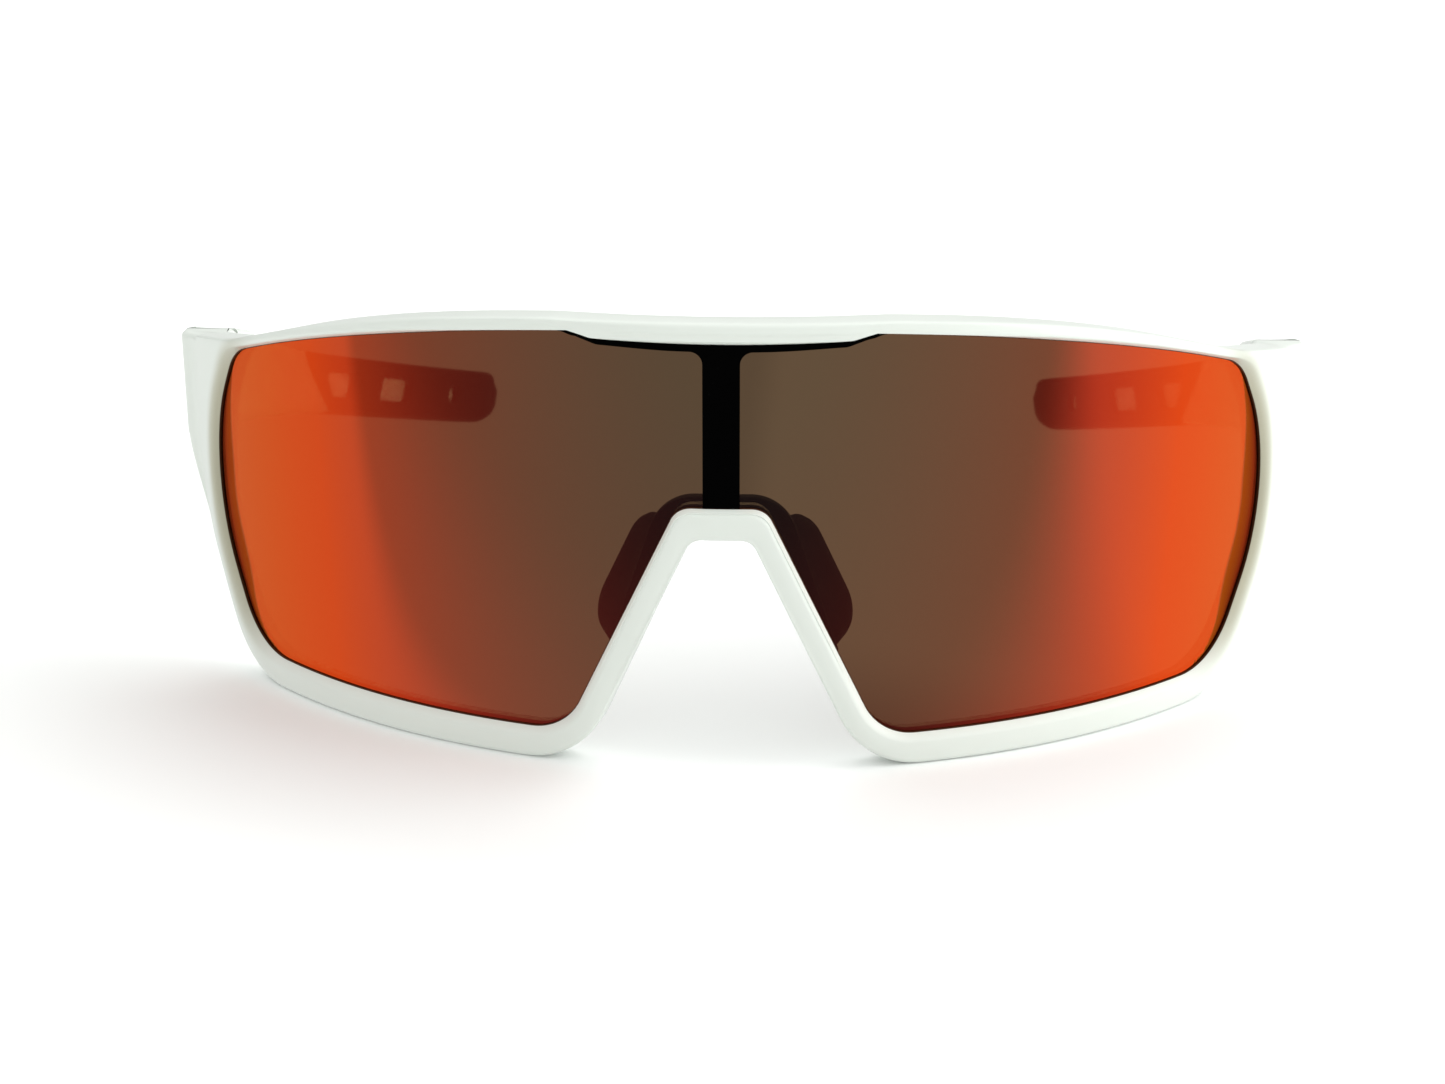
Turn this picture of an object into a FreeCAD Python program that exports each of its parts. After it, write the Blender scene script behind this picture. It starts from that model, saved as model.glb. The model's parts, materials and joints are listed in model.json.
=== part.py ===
"""Wraparound sport sunglasses: one curved shield in a full rim, two folding temples with rubber ear grips.

The row stands open on its lower rim and its temple tips.  +X is the wearer's left, the front faces -Y,
the temples run to +Y and +Z is up.  The origin is under the middle of the whole object.
"""
import FreeCAD, Part
import math
import os

V = FreeCAD.Vector
V2 = FreeCAD.Base.Vector2d
UP = V(0, 0, 1)
past = 1.0                     # how far a cutter runs on past what it cuts

# ---- driving dimensions, millimetres and degrees ----
overall_depth = 164.2          # front of the rim to the back of the temple tips
lens_radius = 82.0             # front face of the shield, a cylinder about an upright axis
lens_thickness = 2.0
rim_front_lip = 1.2            # rim in front of the shield
rim_rear_lip = 1.4             # rim behind the shield
groove_depth = 1.0             # how far the shield reaches into the rim
groove_clearance = 0.06

# sight opening: heights above the table, widths as arc length along the shield's front face
brow_z = 52.5                  # lower edge of the brow lip at the middle
brow_step = 1.15               # the opening is this much higher outside the brow lip
brow_half_arc = 14.4
brow_step_arc = 2.6
brow_corner_radius = 2.0
brow_slope = 0.06              # fall of the top edge where it leaves the brow
crown_arc = 42.2               # middle of the long curve of the top edge
crown_radius = 238.0
droop_slope = 0.27             # fall of the top edge at its outer corner
temple_corner_arc = 73.3
temple_corner_radius = 9.0
side_apex_arc = 85.2           # where the two straight side lines would meet
side_apex_z = 26.4
side_radius = 22.0
chin_corner_arc = 70.9
chin_corner_radius = 12.5
chin_z = 3.6
leg_foot_arc = 19.1            # inner end of the lower edge, where the nose leg starts
leg_foot_radius = 8.0
bridge_z = 32.9
bridge_half_arc = 5.2
bridge_corner_radius = 2.6

# widths of the rim around the opening
brow_rim = 2.5
top_rim = 1.5
side_rim = 4.7
leg_rim = 3.5
bridge_rim = 3.8

# corners of the rim's outside
rim_brow_radius = 30.0
rim_crown_radius = 178.5
rim_temple_radius = 40.0
rim_shoulder_radius = 1.5
rim_side_radius = 23.5
rim_chin_radius = 15.0
rim_foot_radius = 11.0
rim_bridge_radius = 2.0

# hinge
hinge_inset = 3.8              # pin axis, inside the endpiece's outer face
hinge_behind_shoulder = 7.6    # pin axis, behind the rim's outer side
hinge_mid_z = 36.6
knuckle_radius = 2.3
knuckle_height = 4.6
ear_height = 2.4
washer_thickness = 0.3
washer_radius = 2.0
axial_play = 0.05              # each side, between a washer and its ear
screw_radius = 0.70
screw_head_radius = 1.25
screw_head_height = 0.8
screw_slot_width = 0.4
screw_slot_depth = 0.4
screw_end_gap = 0.2            # the screw stops short of the ear's lower face
bush_wall = 0.45
insert_wall = 0.55
running_fit = 0.05
side_gap = 0.15                # between the temple and the ears it swings past
butt_gap = 0.2                 # between the temple's front face and the endpiece

# endpiece
endpiece_stand_out = 2.1       # its outer face, outside the rim's outer side
endpiece_top_z = 43.2
endpiece_bottom_z = 29.4
endpiece_back = 3.0            # its back face, ahead of the pin
endpiece_flat = 2.2            # straight outer face ahead of the back face
endpiece_overlap = 3.2         # how far it reaches over the rim's side, along the arc
endpiece_overshoot = 0.6       # its round front carries on past the rim's side, along the arc
endpiece_inner_margin = 0.6    # its back face, inside the knuckle
ear_root_width = 0.5           # root of each ear, inside the pin's axis
ear_root_sink = 0.5            # how far the root runs into the endpiece
shoulder_arc = 86.4            # outer side of the rim, where it is widest

# temple
temple_bow_radius = 350.0      # the outer face is one arc in plan
temple_thickness = 3.8
root_length = 9.0              # thick part behind the pin
taper_length = 10.0
shoulder_back = 9.0            # behind the pin, where the root runs into the arm
shoulder_top_z = 40.0
shoulder_bottom_z = 27.2
shoulder_radius = 30.0
waist_back = 42.0              # behind the pin, where the arm runs into the grip
waist_top_z = 29.0
waist_bottom_z = 19.3
waist_radius = 80.0
tip_height = 7.6
tip_radius = 3.2
tip_foot_length = 7.0          # flat stretch that stands on the table
tip_foot_radius = 12.0
clear_of_temple = 30.0         # half height of the cutters that pass over the whole temple

# ear grip
grip_wall = 0.6                # rubber outside the line of the arm, each side
grip_start_top = 38.5          # behind the pin, along the top edge
grip_start_bottom = 47.0
tongue_length = 4.0            # the arm's tongue inside the grip
tongue_step = 1.0
tongue_clearance = 0.03
window_height = 4.0
window_round = 0.8
window_back = (46.0, 70.0)     # front end of each window, behind the pin
window_length = (12.0, 10.5)
window_front_slant = (2.6, -2.2)
window_rear_slant = (-2.6, -2.2)
lanyard_hole_radius = 1.5
lanyard_hole_back = 97.0
core_thickness = 0.8
core_height = 1.4
core_drop = 0.6                # core's top edge under the temple's top edge
core_start = 27.0              # behind the pin
core_end = 90.0
core_clearance = 0.03

# strut on the shield
strut_width = 4.6
strut_height = 0.35
strut_top_bar = 1.05
strut_corner_radius = 1.3
strut_edge_gap = 0.08
strut_bar_corner = 0.3
strut_bar_slant = 1.0

# nose piece
bracket_thickness = 1.6
bracket_width = 3.0
bracket_foot_z = 14.0
bracket_rise = 0.5             # bracket above the bridge's upper edge
bracket_reach = 0.4            # bracket beyond the nose leg, towards the shield
bracket_crown_radius = 3.0
bracket_foot_radius = 1.2
bracket_inner_radius = 1.6
pad_length = 17.0
pad_width = 8.8
pad_thickness = 2.4
pad_top_z = 28.4
pad_splay = 31.0               # turn of the pad outwards from straight back
pad_inset = 2.8                # nose side of the pad, inside the leg's shield edge
pad_corner_radius = 3.6
pad_root_corner = 1.0
pad_edge_round = 0.8
pad_root = 0.6                 # length trimmed off to seat the pad on the bracket

# ---- derived places ----
front_y = -overall_depth / 2
rear_y = overall_depth / 2
axis_y = front_y + rim_front_lip + lens_radius
lens_back_radius = lens_radius - lens_thickness
rim_front_radius = lens_radius + rim_front_lip
rim_back_radius = lens_back_radius - rim_rear_lip
bracket_back_radius = rim_back_radius - bracket_thickness
top_z = brow_z + brow_rim
shoulder_turn = shoulder_arc / lens_radius
endpiece_outer_x = rim_front_radius * math.sin(shoulder_turn) + endpiece_stand_out
hinge_x = endpiece_outer_x - hinge_inset
hinge_y = axis_y - rim_front_radius * math.cos(shoulder_turn) + hinge_behind_shoulder
butt_y = hinge_y - endpiece_back
lower_ear_top = hinge_mid_z - knuckle_height / 2 - washer_thickness - axial_play
upper_ear_bottom = hinge_mid_z + knuckle_height / 2 + washer_thickness + axial_play
lower_ear_bottom = lower_ear_top - ear_height
upper_ear_top = upper_ear_bottom + ear_height
leg_slope = (leg_foot_arc - bridge_half_arc) / (bridge_z - chin_z)
side_slope = (side_apex_arc - chin_corner_arc) / (side_apex_z - chin_z)
bow_centre_x = endpiece_outer_x - temple_bow_radius
tip_back = rear_y - hinge_y
arm_front = butt_y + butt_gap - hinge_y
bush_radius = screw_radius + running_fit + bush_wall
insert_radius = screw_radius + insert_wall


def arc_to_point(arc, z, radius):
    """Point on the upright cylinder of the given radius at an arc length measured on the shield's front."""
    turn = arc / lens_radius
    return V(radius * math.sin(turn), axis_y - radius * math.cos(turn), z)


def mirrored(shape):
    """The same shape on the other side of the object."""
    return shape.mirror(V(0, 0, 0), V(1, 0, 0))


def rounded_outline(corners):
    """Closed flat wire through (x, y, corner radius) triples, with a tangent arc at each rounded corner."""
    count = len(corners)
    starts = []
    ends = []
    arcs = []
    for i in range(count):
        x, y, radius = corners[i]
        here = V(x, y, 0)
        before = V(corners[i - 1][0], corners[i - 1][1], 0)
        after = V(corners[(i + 1) % count][0], corners[(i + 1) % count][1], 0)
        to_before = (before - here).normalize()
        to_after = (after - here).normalize()
        if radius <= 0:
            starts.append(here)
            ends.append(here)
            arcs.append(None)
            continue
        half = to_before.getAngle(to_after) / 2
        reach = radius / math.tan(half)
        start = here + to_before * reach
        end = here + to_after * reach
        bisector = (to_before + to_after).normalize()
        middle = here + bisector * (radius / math.sin(half) - radius)
        starts.append(start)
        ends.append(end)
        arcs.append(Part.Arc(start, middle, end).toShape())
    edges = []
    for i in range(count):
        if arcs[i] is not None:
            edges.append(arcs[i])
        following = starts[(i + 1) % count]
        if ends[i].distanceToPoint(following) > 1e-6:
            edges.append(Part.LineSegment(ends[i], following).toShape())
    return Part.Wire(edges)


def both_halves(half):
    """Corners of a symmetrical outline, anticlockwise, from its +x half listed from the top down."""
    return [(-x, y, radius) for x, y, radius in half] + list(reversed(half))


def grown(wire, distance):
    """A flat outline moved outwards by a distance, with its corners kept as arcs."""
    return wire.makeOffset2D(distance, 0)


def cylinder_at(radius):
    """Upright cylinder about the shield's axis, with its seam behind and its start angle at the front."""
    surface = Part.Cylinder()
    surface.Radius = radius
    surface.rotate(FreeCAD.Placement(V(0, 0, 0), FreeCAD.Rotation(UP, -90)))
    surface.translate(V(0, axis_y, 0))
    return surface


def laid_edges(wire, radius):
    """Edges of a flat outline (arc length, height) laid on the upright cylinder of the given radius."""
    surface = cylinder_at(radius)
    laid = []
    for edge in wire.OrderedEdges:
        curve = edge.Curve.toBSpline(edge.FirstParameter, edge.LastParameter)
        poles = [V2(pole.x / lens_radius, pole.y) for pole in curve.getPoles()]
        flat = Part.Geom2d.BSplineCurve2d()
        flat.buildFromPolesMultsKnots(poles, curve.getMultiplicities(), curve.getKnots(),
                                      False, curve.Degree, curve.getWeights())
        laid.append(flat.toShape(surface))
    return laid


def laid_face(wires, edge_sets, radius):
    """The part of a cylinder inside the first laid outline and outside any others."""
    reach = math.pi / 2
    box = wires[0].BoundBox
    margin = 5
    base = cylinder_at(radius).toShape(-reach, reach, box.YMin - margin, box.YMax + margin)
    pieces, _ = base.generalFuse([Part.Wire(edges) for edges in edge_sets])
    outer = Part.Face(wires[0])
    area = (outer.Area - sum(Part.Face(wire).Area for wire in wires[1:])) * radius / lens_radius
    return min(pieces.Faces, key=lambda face: abs(face.Area - area))


def walls(inner_edges, outer_edges):
    """Faces that join two laid copies of one outline, true planes where the outline is level."""
    faces = []
    for inner, outer in zip(inner_edges, outer_edges):
        wall = Part.makeRuledSurface(inner, outer)
        heights = [point.z for point in inner.discretize(3)]
        if max(heights) - min(heights) < 1e-6:
            bare = [Part.Edge(edge.Curve, edge.FirstParameter, edge.LastParameter)
                    for edge in wall.OuterWire.OrderedEdges]
            wall = Part.Face(Part.Wire(bare))
        faces.append(wall)
    return faces


def closed_solid(faces):
    """Solid inside a set of faces that meet edge to edge."""
    shell = Part.Shell(faces)
    shell.sewShape()
    solid = Part.Solid(shell)
    if solid.Volume < 0:
        solid.reverse()
    return solid


def shell_patch(wire, inner_radius, outer_radius):
    """Solid between two upright cylinders whose edge is a flat outline wrapped round them."""
    inner = laid_edges(wire, inner_radius)
    outer = laid_edges(wire, outer_radius)
    return closed_solid([laid_face([wire], [inner], inner_radius), laid_face([wire], [outer], outer_radius)]
                        + walls(inner, outer))


def grooved_ring(outside, inside, groove, radii):
    """Ring between two laid outlines with a groove in its inner side; radii run from the back forwards."""
    back, groove_back, groove_front, front = radii
    faces = []
    for radius in (back, front):
        faces.append(laid_face([outside, inside],
                               [laid_edges(outside, radius), laid_edges(inside, radius)], radius))
    for radius in (groove_back, groove_front):
        faces.append(laid_face([groove, inside],
                               [laid_edges(groove, radius), laid_edges(inside, radius)], radius))
    for wire, low, high in ((outside, back, front), (inside, back, groove_back),
                            (groove, groove_back, groove_front), (inside, groove_front, front)):
        faces += walls(laid_edges(wire, low), laid_edges(wire, high))
    return closed_solid(faces)


def block(x_low, x_high, y_low, y_high, z_low, z_high):
    """Square box between two corners."""
    return Part.makeBox(x_high - x_low, y_high - y_low, z_high - z_low, V(x_low, y_low, z_low))


def on_pin(radius, z_low, z_high):
    """Round bar about the left hinge pin's axis."""
    return Part.makeCylinder(radius, z_high - z_low, V(hinge_x, hinge_y, z_low))


# ---- shield and rim ----
def top_line_z(arc, rise=0.0):
    """Height of the outer part of the opening's top edge, or of a line above it."""
    crown_z = brow_z + brow_step - brow_slope * (crown_arc - brow_half_arc - brow_step_arc)
    return crown_z + rise - droop_slope * (arc - crown_arc)


def sight_outline():
    """The opening that the shield is seen through."""
    step_end = brow_half_arc + brow_step_arc
    return rounded_outline(both_halves([
        (brow_half_arc, brow_z, brow_corner_radius),
        (step_end, brow_z + brow_step, brow_corner_radius),
        (crown_arc, top_line_z(crown_arc), crown_radius),
        (temple_corner_arc, top_line_z(temple_corner_arc), temple_corner_radius),
        (side_apex_arc, side_apex_z, side_radius),
        (chin_corner_arc, chin_z, chin_corner_radius),
        (leg_foot_arc, chin_z, leg_foot_radius),
        (bridge_half_arc, bridge_z, bridge_corner_radius)]))


def rim_outline():
    """The outside of the rim, with the nose gap in its lower edge and square shoulders at the endpieces."""
    flat_end = brow_half_arc + 2 * brow_step_arc
    foot = leg_foot_arc - leg_rim + leg_slope * chin_z
    low_side_z = side_apex_z - (side_apex_arc + side_rim - shoulder_arc) / side_slope
    return rounded_outline(both_halves([
        (flat_end, top_z, rim_brow_radius),
        (crown_arc, top_line_z(crown_arc, top_rim), rim_crown_radius),
        (temple_corner_arc, top_line_z(temple_corner_arc, top_rim), rim_temple_radius),
        (shoulder_arc, endpiece_top_z, rim_shoulder_radius),
        (shoulder_arc, low_side_z, rim_side_radius),
        (chin_corner_arc + side_rim - side_slope * chin_z, 0, rim_chin_radius),
        (foot, 0, rim_foot_radius),
        (bridge_half_arc - leg_rim + leg_slope * bridge_rim, bridge_z - bridge_rim, rim_bridge_radius)]))


def shield_lens():
    """One curved sheet that reaches into the rim's groove all round."""
    return shell_patch(grown(sight_outline(), groove_depth), lens_back_radius, lens_radius)


def lens_strut():
    """Thin black tee bonded to the shield's front, under the brow and down to the bridge."""
    half = strut_width / 2
    top = brow_z - strut_edge_gap
    bar = top - strut_top_bar
    outline = rounded_outline(both_halves([
        (brow_half_arc, top, strut_bar_corner),
        (brow_half_arc - strut_bar_slant, bar, strut_bar_corner),
        (half, bar, strut_corner_radius),
        (half, bridge_z + strut_edge_gap, 0)]))
    return shell_patch(outline, lens_radius, lens_radius + strut_height)


def endpiece():
    """Left corner of the frame, from the rim back to the face that the temple shuts against."""
    root_arc = shoulder_arc - endpiece_overlap
    shoulder_end = shoulder_arc + endpiece_overshoot
    shoulder = arc_to_point(shoulder_end, 0, rim_front_radius)
    halfway = arc_to_point((root_arc + shoulder_end) / 2, 0, rim_front_radius)
    root = arc_to_point(root_arc, 0, rim_front_radius)
    cheek = V(endpiece_outer_x, butt_y - endpiece_flat, 0)
    outer_back = V(endpiece_outer_x, butt_y, 0)
    inner_back = V(hinge_x - knuckle_radius - endpiece_inner_margin, butt_y, 0)
    inner_root = arc_to_point(root_arc, 0, rim_back_radius)
    plan = Part.Wire([Part.Arc(root, halfway, shoulder).toShape(),
                      Part.makePolygon([shoulder, cheek, outer_back, inner_back, inner_root, root])])
    solid = Part.Face(plan).extrude(UP * (endpiece_top_z - endpiece_bottom_z))
    solid.translate(UP * endpiece_bottom_z)
    return solid


def ear(z_low, z_high):
    """One hinge ear, a lug with a round end; its root is cut back where the temple folds past it."""
    root = block(hinge_x - ear_root_width, hinge_x + knuckle_radius, butt_y - ear_root_sink, hinge_y,
                 z_low, z_high)
    return on_pin(knuckle_radius, z_low, z_high).fuse(root)


def hinge_side():
    """Endpiece with its two ears, bored for the screw, its head and the threaded insert."""
    solid = endpiece()
    solid = solid.fuse([ear(lower_ear_bottom, lower_ear_top), ear(upper_ear_bottom, upper_ear_top)])
    head = on_pin(screw_head_radius + running_fit, upper_ear_top - screw_head_height, upper_ear_top + past)
    shank = on_pin(screw_radius + running_fit, upper_ear_bottom - past, upper_ear_top + past)
    seat = on_pin(insert_radius, lower_ear_bottom - past, lower_ear_top + axial_play)
    return solid.cut([head, shank, seat])


def front_frame():
    """The white front in one moulding: full rim, nose legs and bridge, endpieces and hinge ears."""
    sight = sight_outline()
    side = hinge_side()
    rim = grooved_ring(rim_outline(), sight, grown(sight, groove_depth + groove_clearance),
                       (rim_back_radius, lens_back_radius - groove_clearance,
                        lens_radius + groove_clearance, rim_front_radius))
    return rim.fuse([side, mirrored(side)])


# ---- hinge hardware, left side ----
def hinge_screw():
    """Slotted screw from above, through the knuckle into the insert."""
    head_low = upper_ear_top - screw_head_height
    shank = on_pin(screw_radius, lower_ear_bottom + screw_end_gap, head_low)
    head = on_pin(screw_head_radius, head_low, upper_ear_top)
    reach = screw_head_radius + past
    slot = block(hinge_x - reach, hinge_x + reach,
                 hinge_y - screw_slot_width / 2, hinge_y + screw_slot_width / 2,
                 upper_ear_top - screw_slot_depth, upper_ear_top + past)
    return shank.fuse(head).cut(slot).removeSplitter()


def hinge_insert():
    """Brass insert in the lower ear, which the screw's thread bites into."""
    outer = on_pin(insert_radius, lower_ear_bottom, lower_ear_top)
    return outer.cut(on_pin(screw_radius, lower_ear_bottom - past, lower_ear_top + past))


def hinge_bush():
    """Steel sleeve pressed into the temple's knuckle, running on the screw."""
    low = hinge_mid_z - knuckle_height / 2
    high = hinge_mid_z + knuckle_height / 2
    return on_pin(bush_radius, low, high).cut(on_pin(screw_radius + running_fit, low - past, high + past))


def hinge_washers():
    """Two thin washers, over and under the knuckle."""
    low = hinge_mid_z - knuckle_height / 2 - washer_thickness
    high = hinge_mid_z + knuckle_height / 2 + washer_thickness
    ring = on_pin(washer_radius, low, high).cut(on_pin(screw_radius + running_fit, low - past, high + past))
    gap = on_pin(washer_radius + past, low + washer_thickness, high - washer_thickness)
    return ring.cut(gap)


# ---- temple, left side ----
def bow_point(back, offset):
    """Plan point of an arc parallel to the temple's outer face, at a distance behind the pin."""
    y = hinge_y + back
    reach = temple_bow_radius - offset
    return V(bow_centre_x + math.sqrt(reach ** 2 - (y - butt_y) ** 2), y, 0)


def bow_band(outer_offset, inner_offset, start, end):
    """Plan face between two arcs parallel to the temple's outer face."""
    middle = (start + end) / 2
    outer = Part.Arc(*[bow_point(back, outer_offset) for back in (start, middle, end)]).toShape()
    inner = Part.Arc(*[bow_point(back, inner_offset) for back in (end, middle, start)]).toShape()
    sides = [Part.LineSegment(bow_point(end, outer_offset), bow_point(end, inner_offset)).toShape(),
             Part.LineSegment(bow_point(start, inner_offset), bow_point(start, outer_offset)).toShape()]
    return Part.Face(Part.Wire([outer, sides[0], inner, sides[1]]))


def upright(plan_face):
    """A plan face carried up past the whole height of the temple."""
    solid = plan_face.extrude(UP * (top_z + 2 * past))
    solid.translate(UP * -past)
    return solid


def across(corners):
    """A (distance behind the pin, height) outline carried across the temple's whole width."""
    flat = Part.Face(rounded_outline(corners)).extrude(V(0, 0, endpiece_outer_x))
    turned = FreeCAD.Placement(V(endpiece_outer_x / 4, hinge_y, 0), FreeCAD.Rotation(V(1, 1, 1), 120))
    flat.Placement = turned
    return flat


def temple_corners(inset=0.0):
    """Side outline of the whole temple, or of one that is smaller all round."""
    return [(arm_front, endpiece_bottom_z + inset, 0),
            (shoulder_back, shoulder_bottom_z + inset, shoulder_radius),
            (waist_back, waist_bottom_z + inset, waist_radius),
            (tip_back - tip_foot_length, inset, tip_foot_radius),
            (tip_back - inset, inset, tip_radius - inset),
            (tip_back - inset, tip_height - inset, tip_radius - inset),
            (waist_back, waist_top_z - inset, waist_radius),
            (shoulder_back, shoulder_top_z - inset, shoulder_radius),
            (arm_front, endpiece_top_z - inset, 0)]


def behind_start(shift):
    """Everything behind the slanting front edge of the ear grip, moved back by a distance."""
    slope = (grip_start_bottom - grip_start_top) / (waist_top_z - waist_bottom_z)
    top = grip_start_top + shift - slope * clear_of_temple
    bottom = grip_start_bottom + shift + slope * clear_of_temple
    high = waist_top_z + clear_of_temple
    low = waist_bottom_z - clear_of_temple
    end = tip_back + clear_of_temple
    return across([(top, high, 0), (bottom, low, 0), (end, low, 0), (end, high, 0)])


def edge_z(back, high=True):
    """Height of the temple's top or lower edge behind the waist, without its rounding."""
    if high:
        start, end, length = waist_top_z, tip_height, tip_back - waist_back
    else:
        start, end, length = waist_bottom_z, 0, tip_back - tip_foot_length - waist_back
    return start + (end - start) * (back - waist_back) / length


def temple_core(extra=0.0):
    """Spring-steel strip under the temple's top edge, from inside the arm to near the tip."""
    high = core_drop - extra
    low = core_drop + core_height + extra
    rise = (shoulder_top_z - waist_top_z) / (waist_back - shoulder_back)
    start_z = waist_top_z + rise * (waist_back - core_start + extra)
    side = across([(core_start - extra, start_z - low, 0), (waist_back, waist_top_z - low, waist_radius),
                   (core_end + extra, edge_z(core_end + extra) - low, 0),
                   (core_end + extra, edge_z(core_end + extra) - high, 0),
                   (waist_back, waist_top_z - high, waist_radius),
                   (core_start - extra, start_z - high, 0)])
    middle = temple_thickness / 2
    half = core_thickness / 2 + extra
    return side.common(upright(bow_band(middle - half, middle + half, core_start - 5, core_end + 5)))


def root_plan():
    """Plan face of the arm: thick at the hinge, then tapering to the arm's own thickness."""
    inner_x = hinge_x - knuckle_radius
    end = tip_back + 5
    outer = Part.Arc(*[bow_point(back, 0) for back in (arm_front, end / 2, end)]).toShape()
    taper_end = root_length + taper_length
    inner = Part.Arc(*[bow_point(back, temple_thickness)
                       for back in (end, (end + taper_end) / 2, taper_end)]).toShape()
    corners = [bow_point(taper_end, temple_thickness), V(inner_x, hinge_y + root_length, 0),
               V(inner_x, hinge_y + arm_front, 0), bow_point(arm_front, 0)]
    closing = Part.LineSegment(bow_point(end, 0), bow_point(end, temple_thickness)).toShape()
    return Part.Face(Part.Wire([outer, closing, inner, Part.makePolygon(corners)]))


def temple():
    """White arm: a cheek outside the hinge, a bored knuckle between the ears, a tongue in the grip."""
    arm = across(temple_corners()).common(upright(root_plan())).cut(behind_start(0))
    inner_offset = temple_thickness - tongue_step
    tongue_plan = upright(bow_band(tongue_step, inner_offset, grip_start_top - 10, tip_back))
    tongue = across(temple_corners(tongue_step)).common(tongue_plan)
    tongue = tongue.common(behind_start(-0.5)).cut(behind_start(tongue_length))
    swept = on_pin(knuckle_radius + side_gap, 0, top_z)
    ahead = block(0, hinge_x + knuckle_radius + side_gap, butt_y - past, hinge_y, 0, top_z)
    low = hinge_mid_z - knuckle_height / 2
    high = hinge_mid_z + knuckle_height / 2
    web = block(hinge_x - knuckle_radius, hinge_x + knuckle_radius, hinge_y, hinge_y + root_length / 2,
                low, high)
    knuckle = on_pin(knuckle_radius, low, high).fuse(web)
    bore = on_pin(bush_radius, low - past, high + past)
    arm = arm.cut([swept, ahead]).fuse([tongue, knuckle])
    return arm.cut([bore, temple_core(core_clearance)]).removeSplitter()


def window(index):
    """One see-through window of the ear grip, its ends slanting, along the middle of the grip."""
    front = window_back[index]
    rear = front + window_length[index]
    lower_front = front + window_front_slant[index]
    lower_rear = rear + window_rear_slant[index]
    half = window_height / 2

    def middle(back):
        return (edge_z(back) + edge_z(back, high=False)) / 2
    return across([(front, middle(front) + half, window_round),
                   (lower_front, middle(lower_front) - half, window_round),
                   (lower_rear, middle(lower_rear) - half, window_round),
                   (rear, middle(rear) + half, window_round)])


def ear_grip():
    """Black rubber sleeve over the arm's end, with two windows and a round lanyard hole."""
    band = upright(bow_band(-grip_wall, temple_thickness + grip_wall, grip_start_top - 5, tip_back + 5))
    grip = across(temple_corners()).common(band).common(behind_start(0))
    pocket_plan = upright(bow_band(tongue_step - tongue_clearance,
                                   temple_thickness - tongue_step + tongue_clearance,
                                   grip_start_top - 10, tip_back))
    pocket = across(temple_corners(tongue_step - tongue_clearance)).common(pocket_plan)
    pocket = pocket.cut(behind_start(tongue_length + tongue_clearance))
    hole_z = (edge_z(lanyard_hole_back) + edge_z(lanyard_hole_back, high=False)) / 2
    hole = Part.makeCylinder(lanyard_hole_radius, endpiece_outer_x,
                             V(endpiece_outer_x / 4, hinge_y + lanyard_hole_back, hole_z), V(1, 0, 0))
    return grip.cut([pocket, temple_core(core_clearance), window(0), window(1), hole]).removeSplitter()


# ---- nose piece ----
def nose_bracket():
    """Stiff arch behind the bridge and the nose legs, which carries the two soft pads."""
    top = bridge_z + bracket_rise
    foot = leg_foot_arc - leg_slope * (bracket_foot_z - chin_z) + bracket_reach
    crown = bridge_half_arc + bracket_reach
    inner_top = top - bracket_width
    outline = rounded_outline(both_halves([
        (crown, top, bracket_crown_radius),
        (foot, bracket_foot_z, bracket_foot_radius),
        (foot - bracket_width, bracket_foot_z, bracket_foot_radius),
        (crown - bracket_width + leg_slope * bracket_width, inner_top, bracket_inner_radius)]))
    return shell_patch(outline, bracket_back_radius, rim_back_radius)


def nose_pad():
    """Left soft pad: a rounded plate seated on the bracket, splayed outwards towards its rear."""
    length = math.hypot(leg_slope, 1)
    down = V(leg_slope / length, 0, -1 / length)
    splay = math.radians(pad_splay)
    back = V(math.sin(splay), math.cos(splay), 0)
    back = (back - down * back.dot(down)).normalize()
    out = down.cross(back)
    plate = Part.Face(rounded_outline([
        (0, 0, pad_root_corner), (pad_length, 0, pad_root_corner),
        (pad_length, pad_width, pad_corner_radius),
        (0, pad_width, pad_corner_radius)])).extrude(V(0, 0, pad_thickness))
    rear_edges = [edge for edge in plate.Edges
                  if edge.BoundBox.ZLength < 1e-6 and edge.BoundBox.YMax > 1.2 * pad_root_corner]
    plate = plate.makeFillet(pad_edge_round, rear_edges)
    arc = leg_foot_arc - leg_slope * (pad_top_z - chin_z) - pad_inset
    start = arc_to_point(arc, pad_top_z, bracket_back_radius + pad_root)
    plate.Placement = FreeCAD.Placement(start, FreeCAD.Rotation(down, back, out, "ZXY"))
    return plate.common(Part.makeCylinder(bracket_back_radius, top_z, V(0, axis_y, 0)))


def main():
    os.makedirs("parts", exist_ok=True)
    nodes = {"front_frame": front_frame(), "shield_lens": shield_lens(), "lens_strut": lens_strut(),
             "nose_bracket": nose_bracket()}
    paired = {"nose_pad": nose_pad(), "temple": temple(), "ear_grip": ear_grip(),
              "temple_core": temple_core(), "hinge_screw": hinge_screw(), "hinge_insert": hinge_insert(),
              "hinge_bush": hinge_bush(), "hinge_washers": hinge_washers()}
    for name, shape in paired.items():
        nodes[name + "_left"] = shape
        nodes[name + "_right"] = mirrored(shape)
    for name, shape in nodes.items():
        shape.exportStep("parts/" + name + ".step")
        box = shape.BoundBox
        print(name, shape.isValid(), len(shape.Solids), round(shape.Volume, 1),
              [round(value, 2) for value in (box.XMin, box.XMax, box.YMin, box.YMax, box.ZMin, box.ZMax)])


main()
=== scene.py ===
"""Wraparound sport sunglasses: moulded white frame, mirrored shield, black strut, a dark band round the
opening, soft nose piece, folding arms with rubber ear grips.  Lengths inside the shape functions are
millimetres."""

import json
import math

import bmesh
import bpy
import numpy as np
from mathutils import Matrix, Vector


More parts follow.
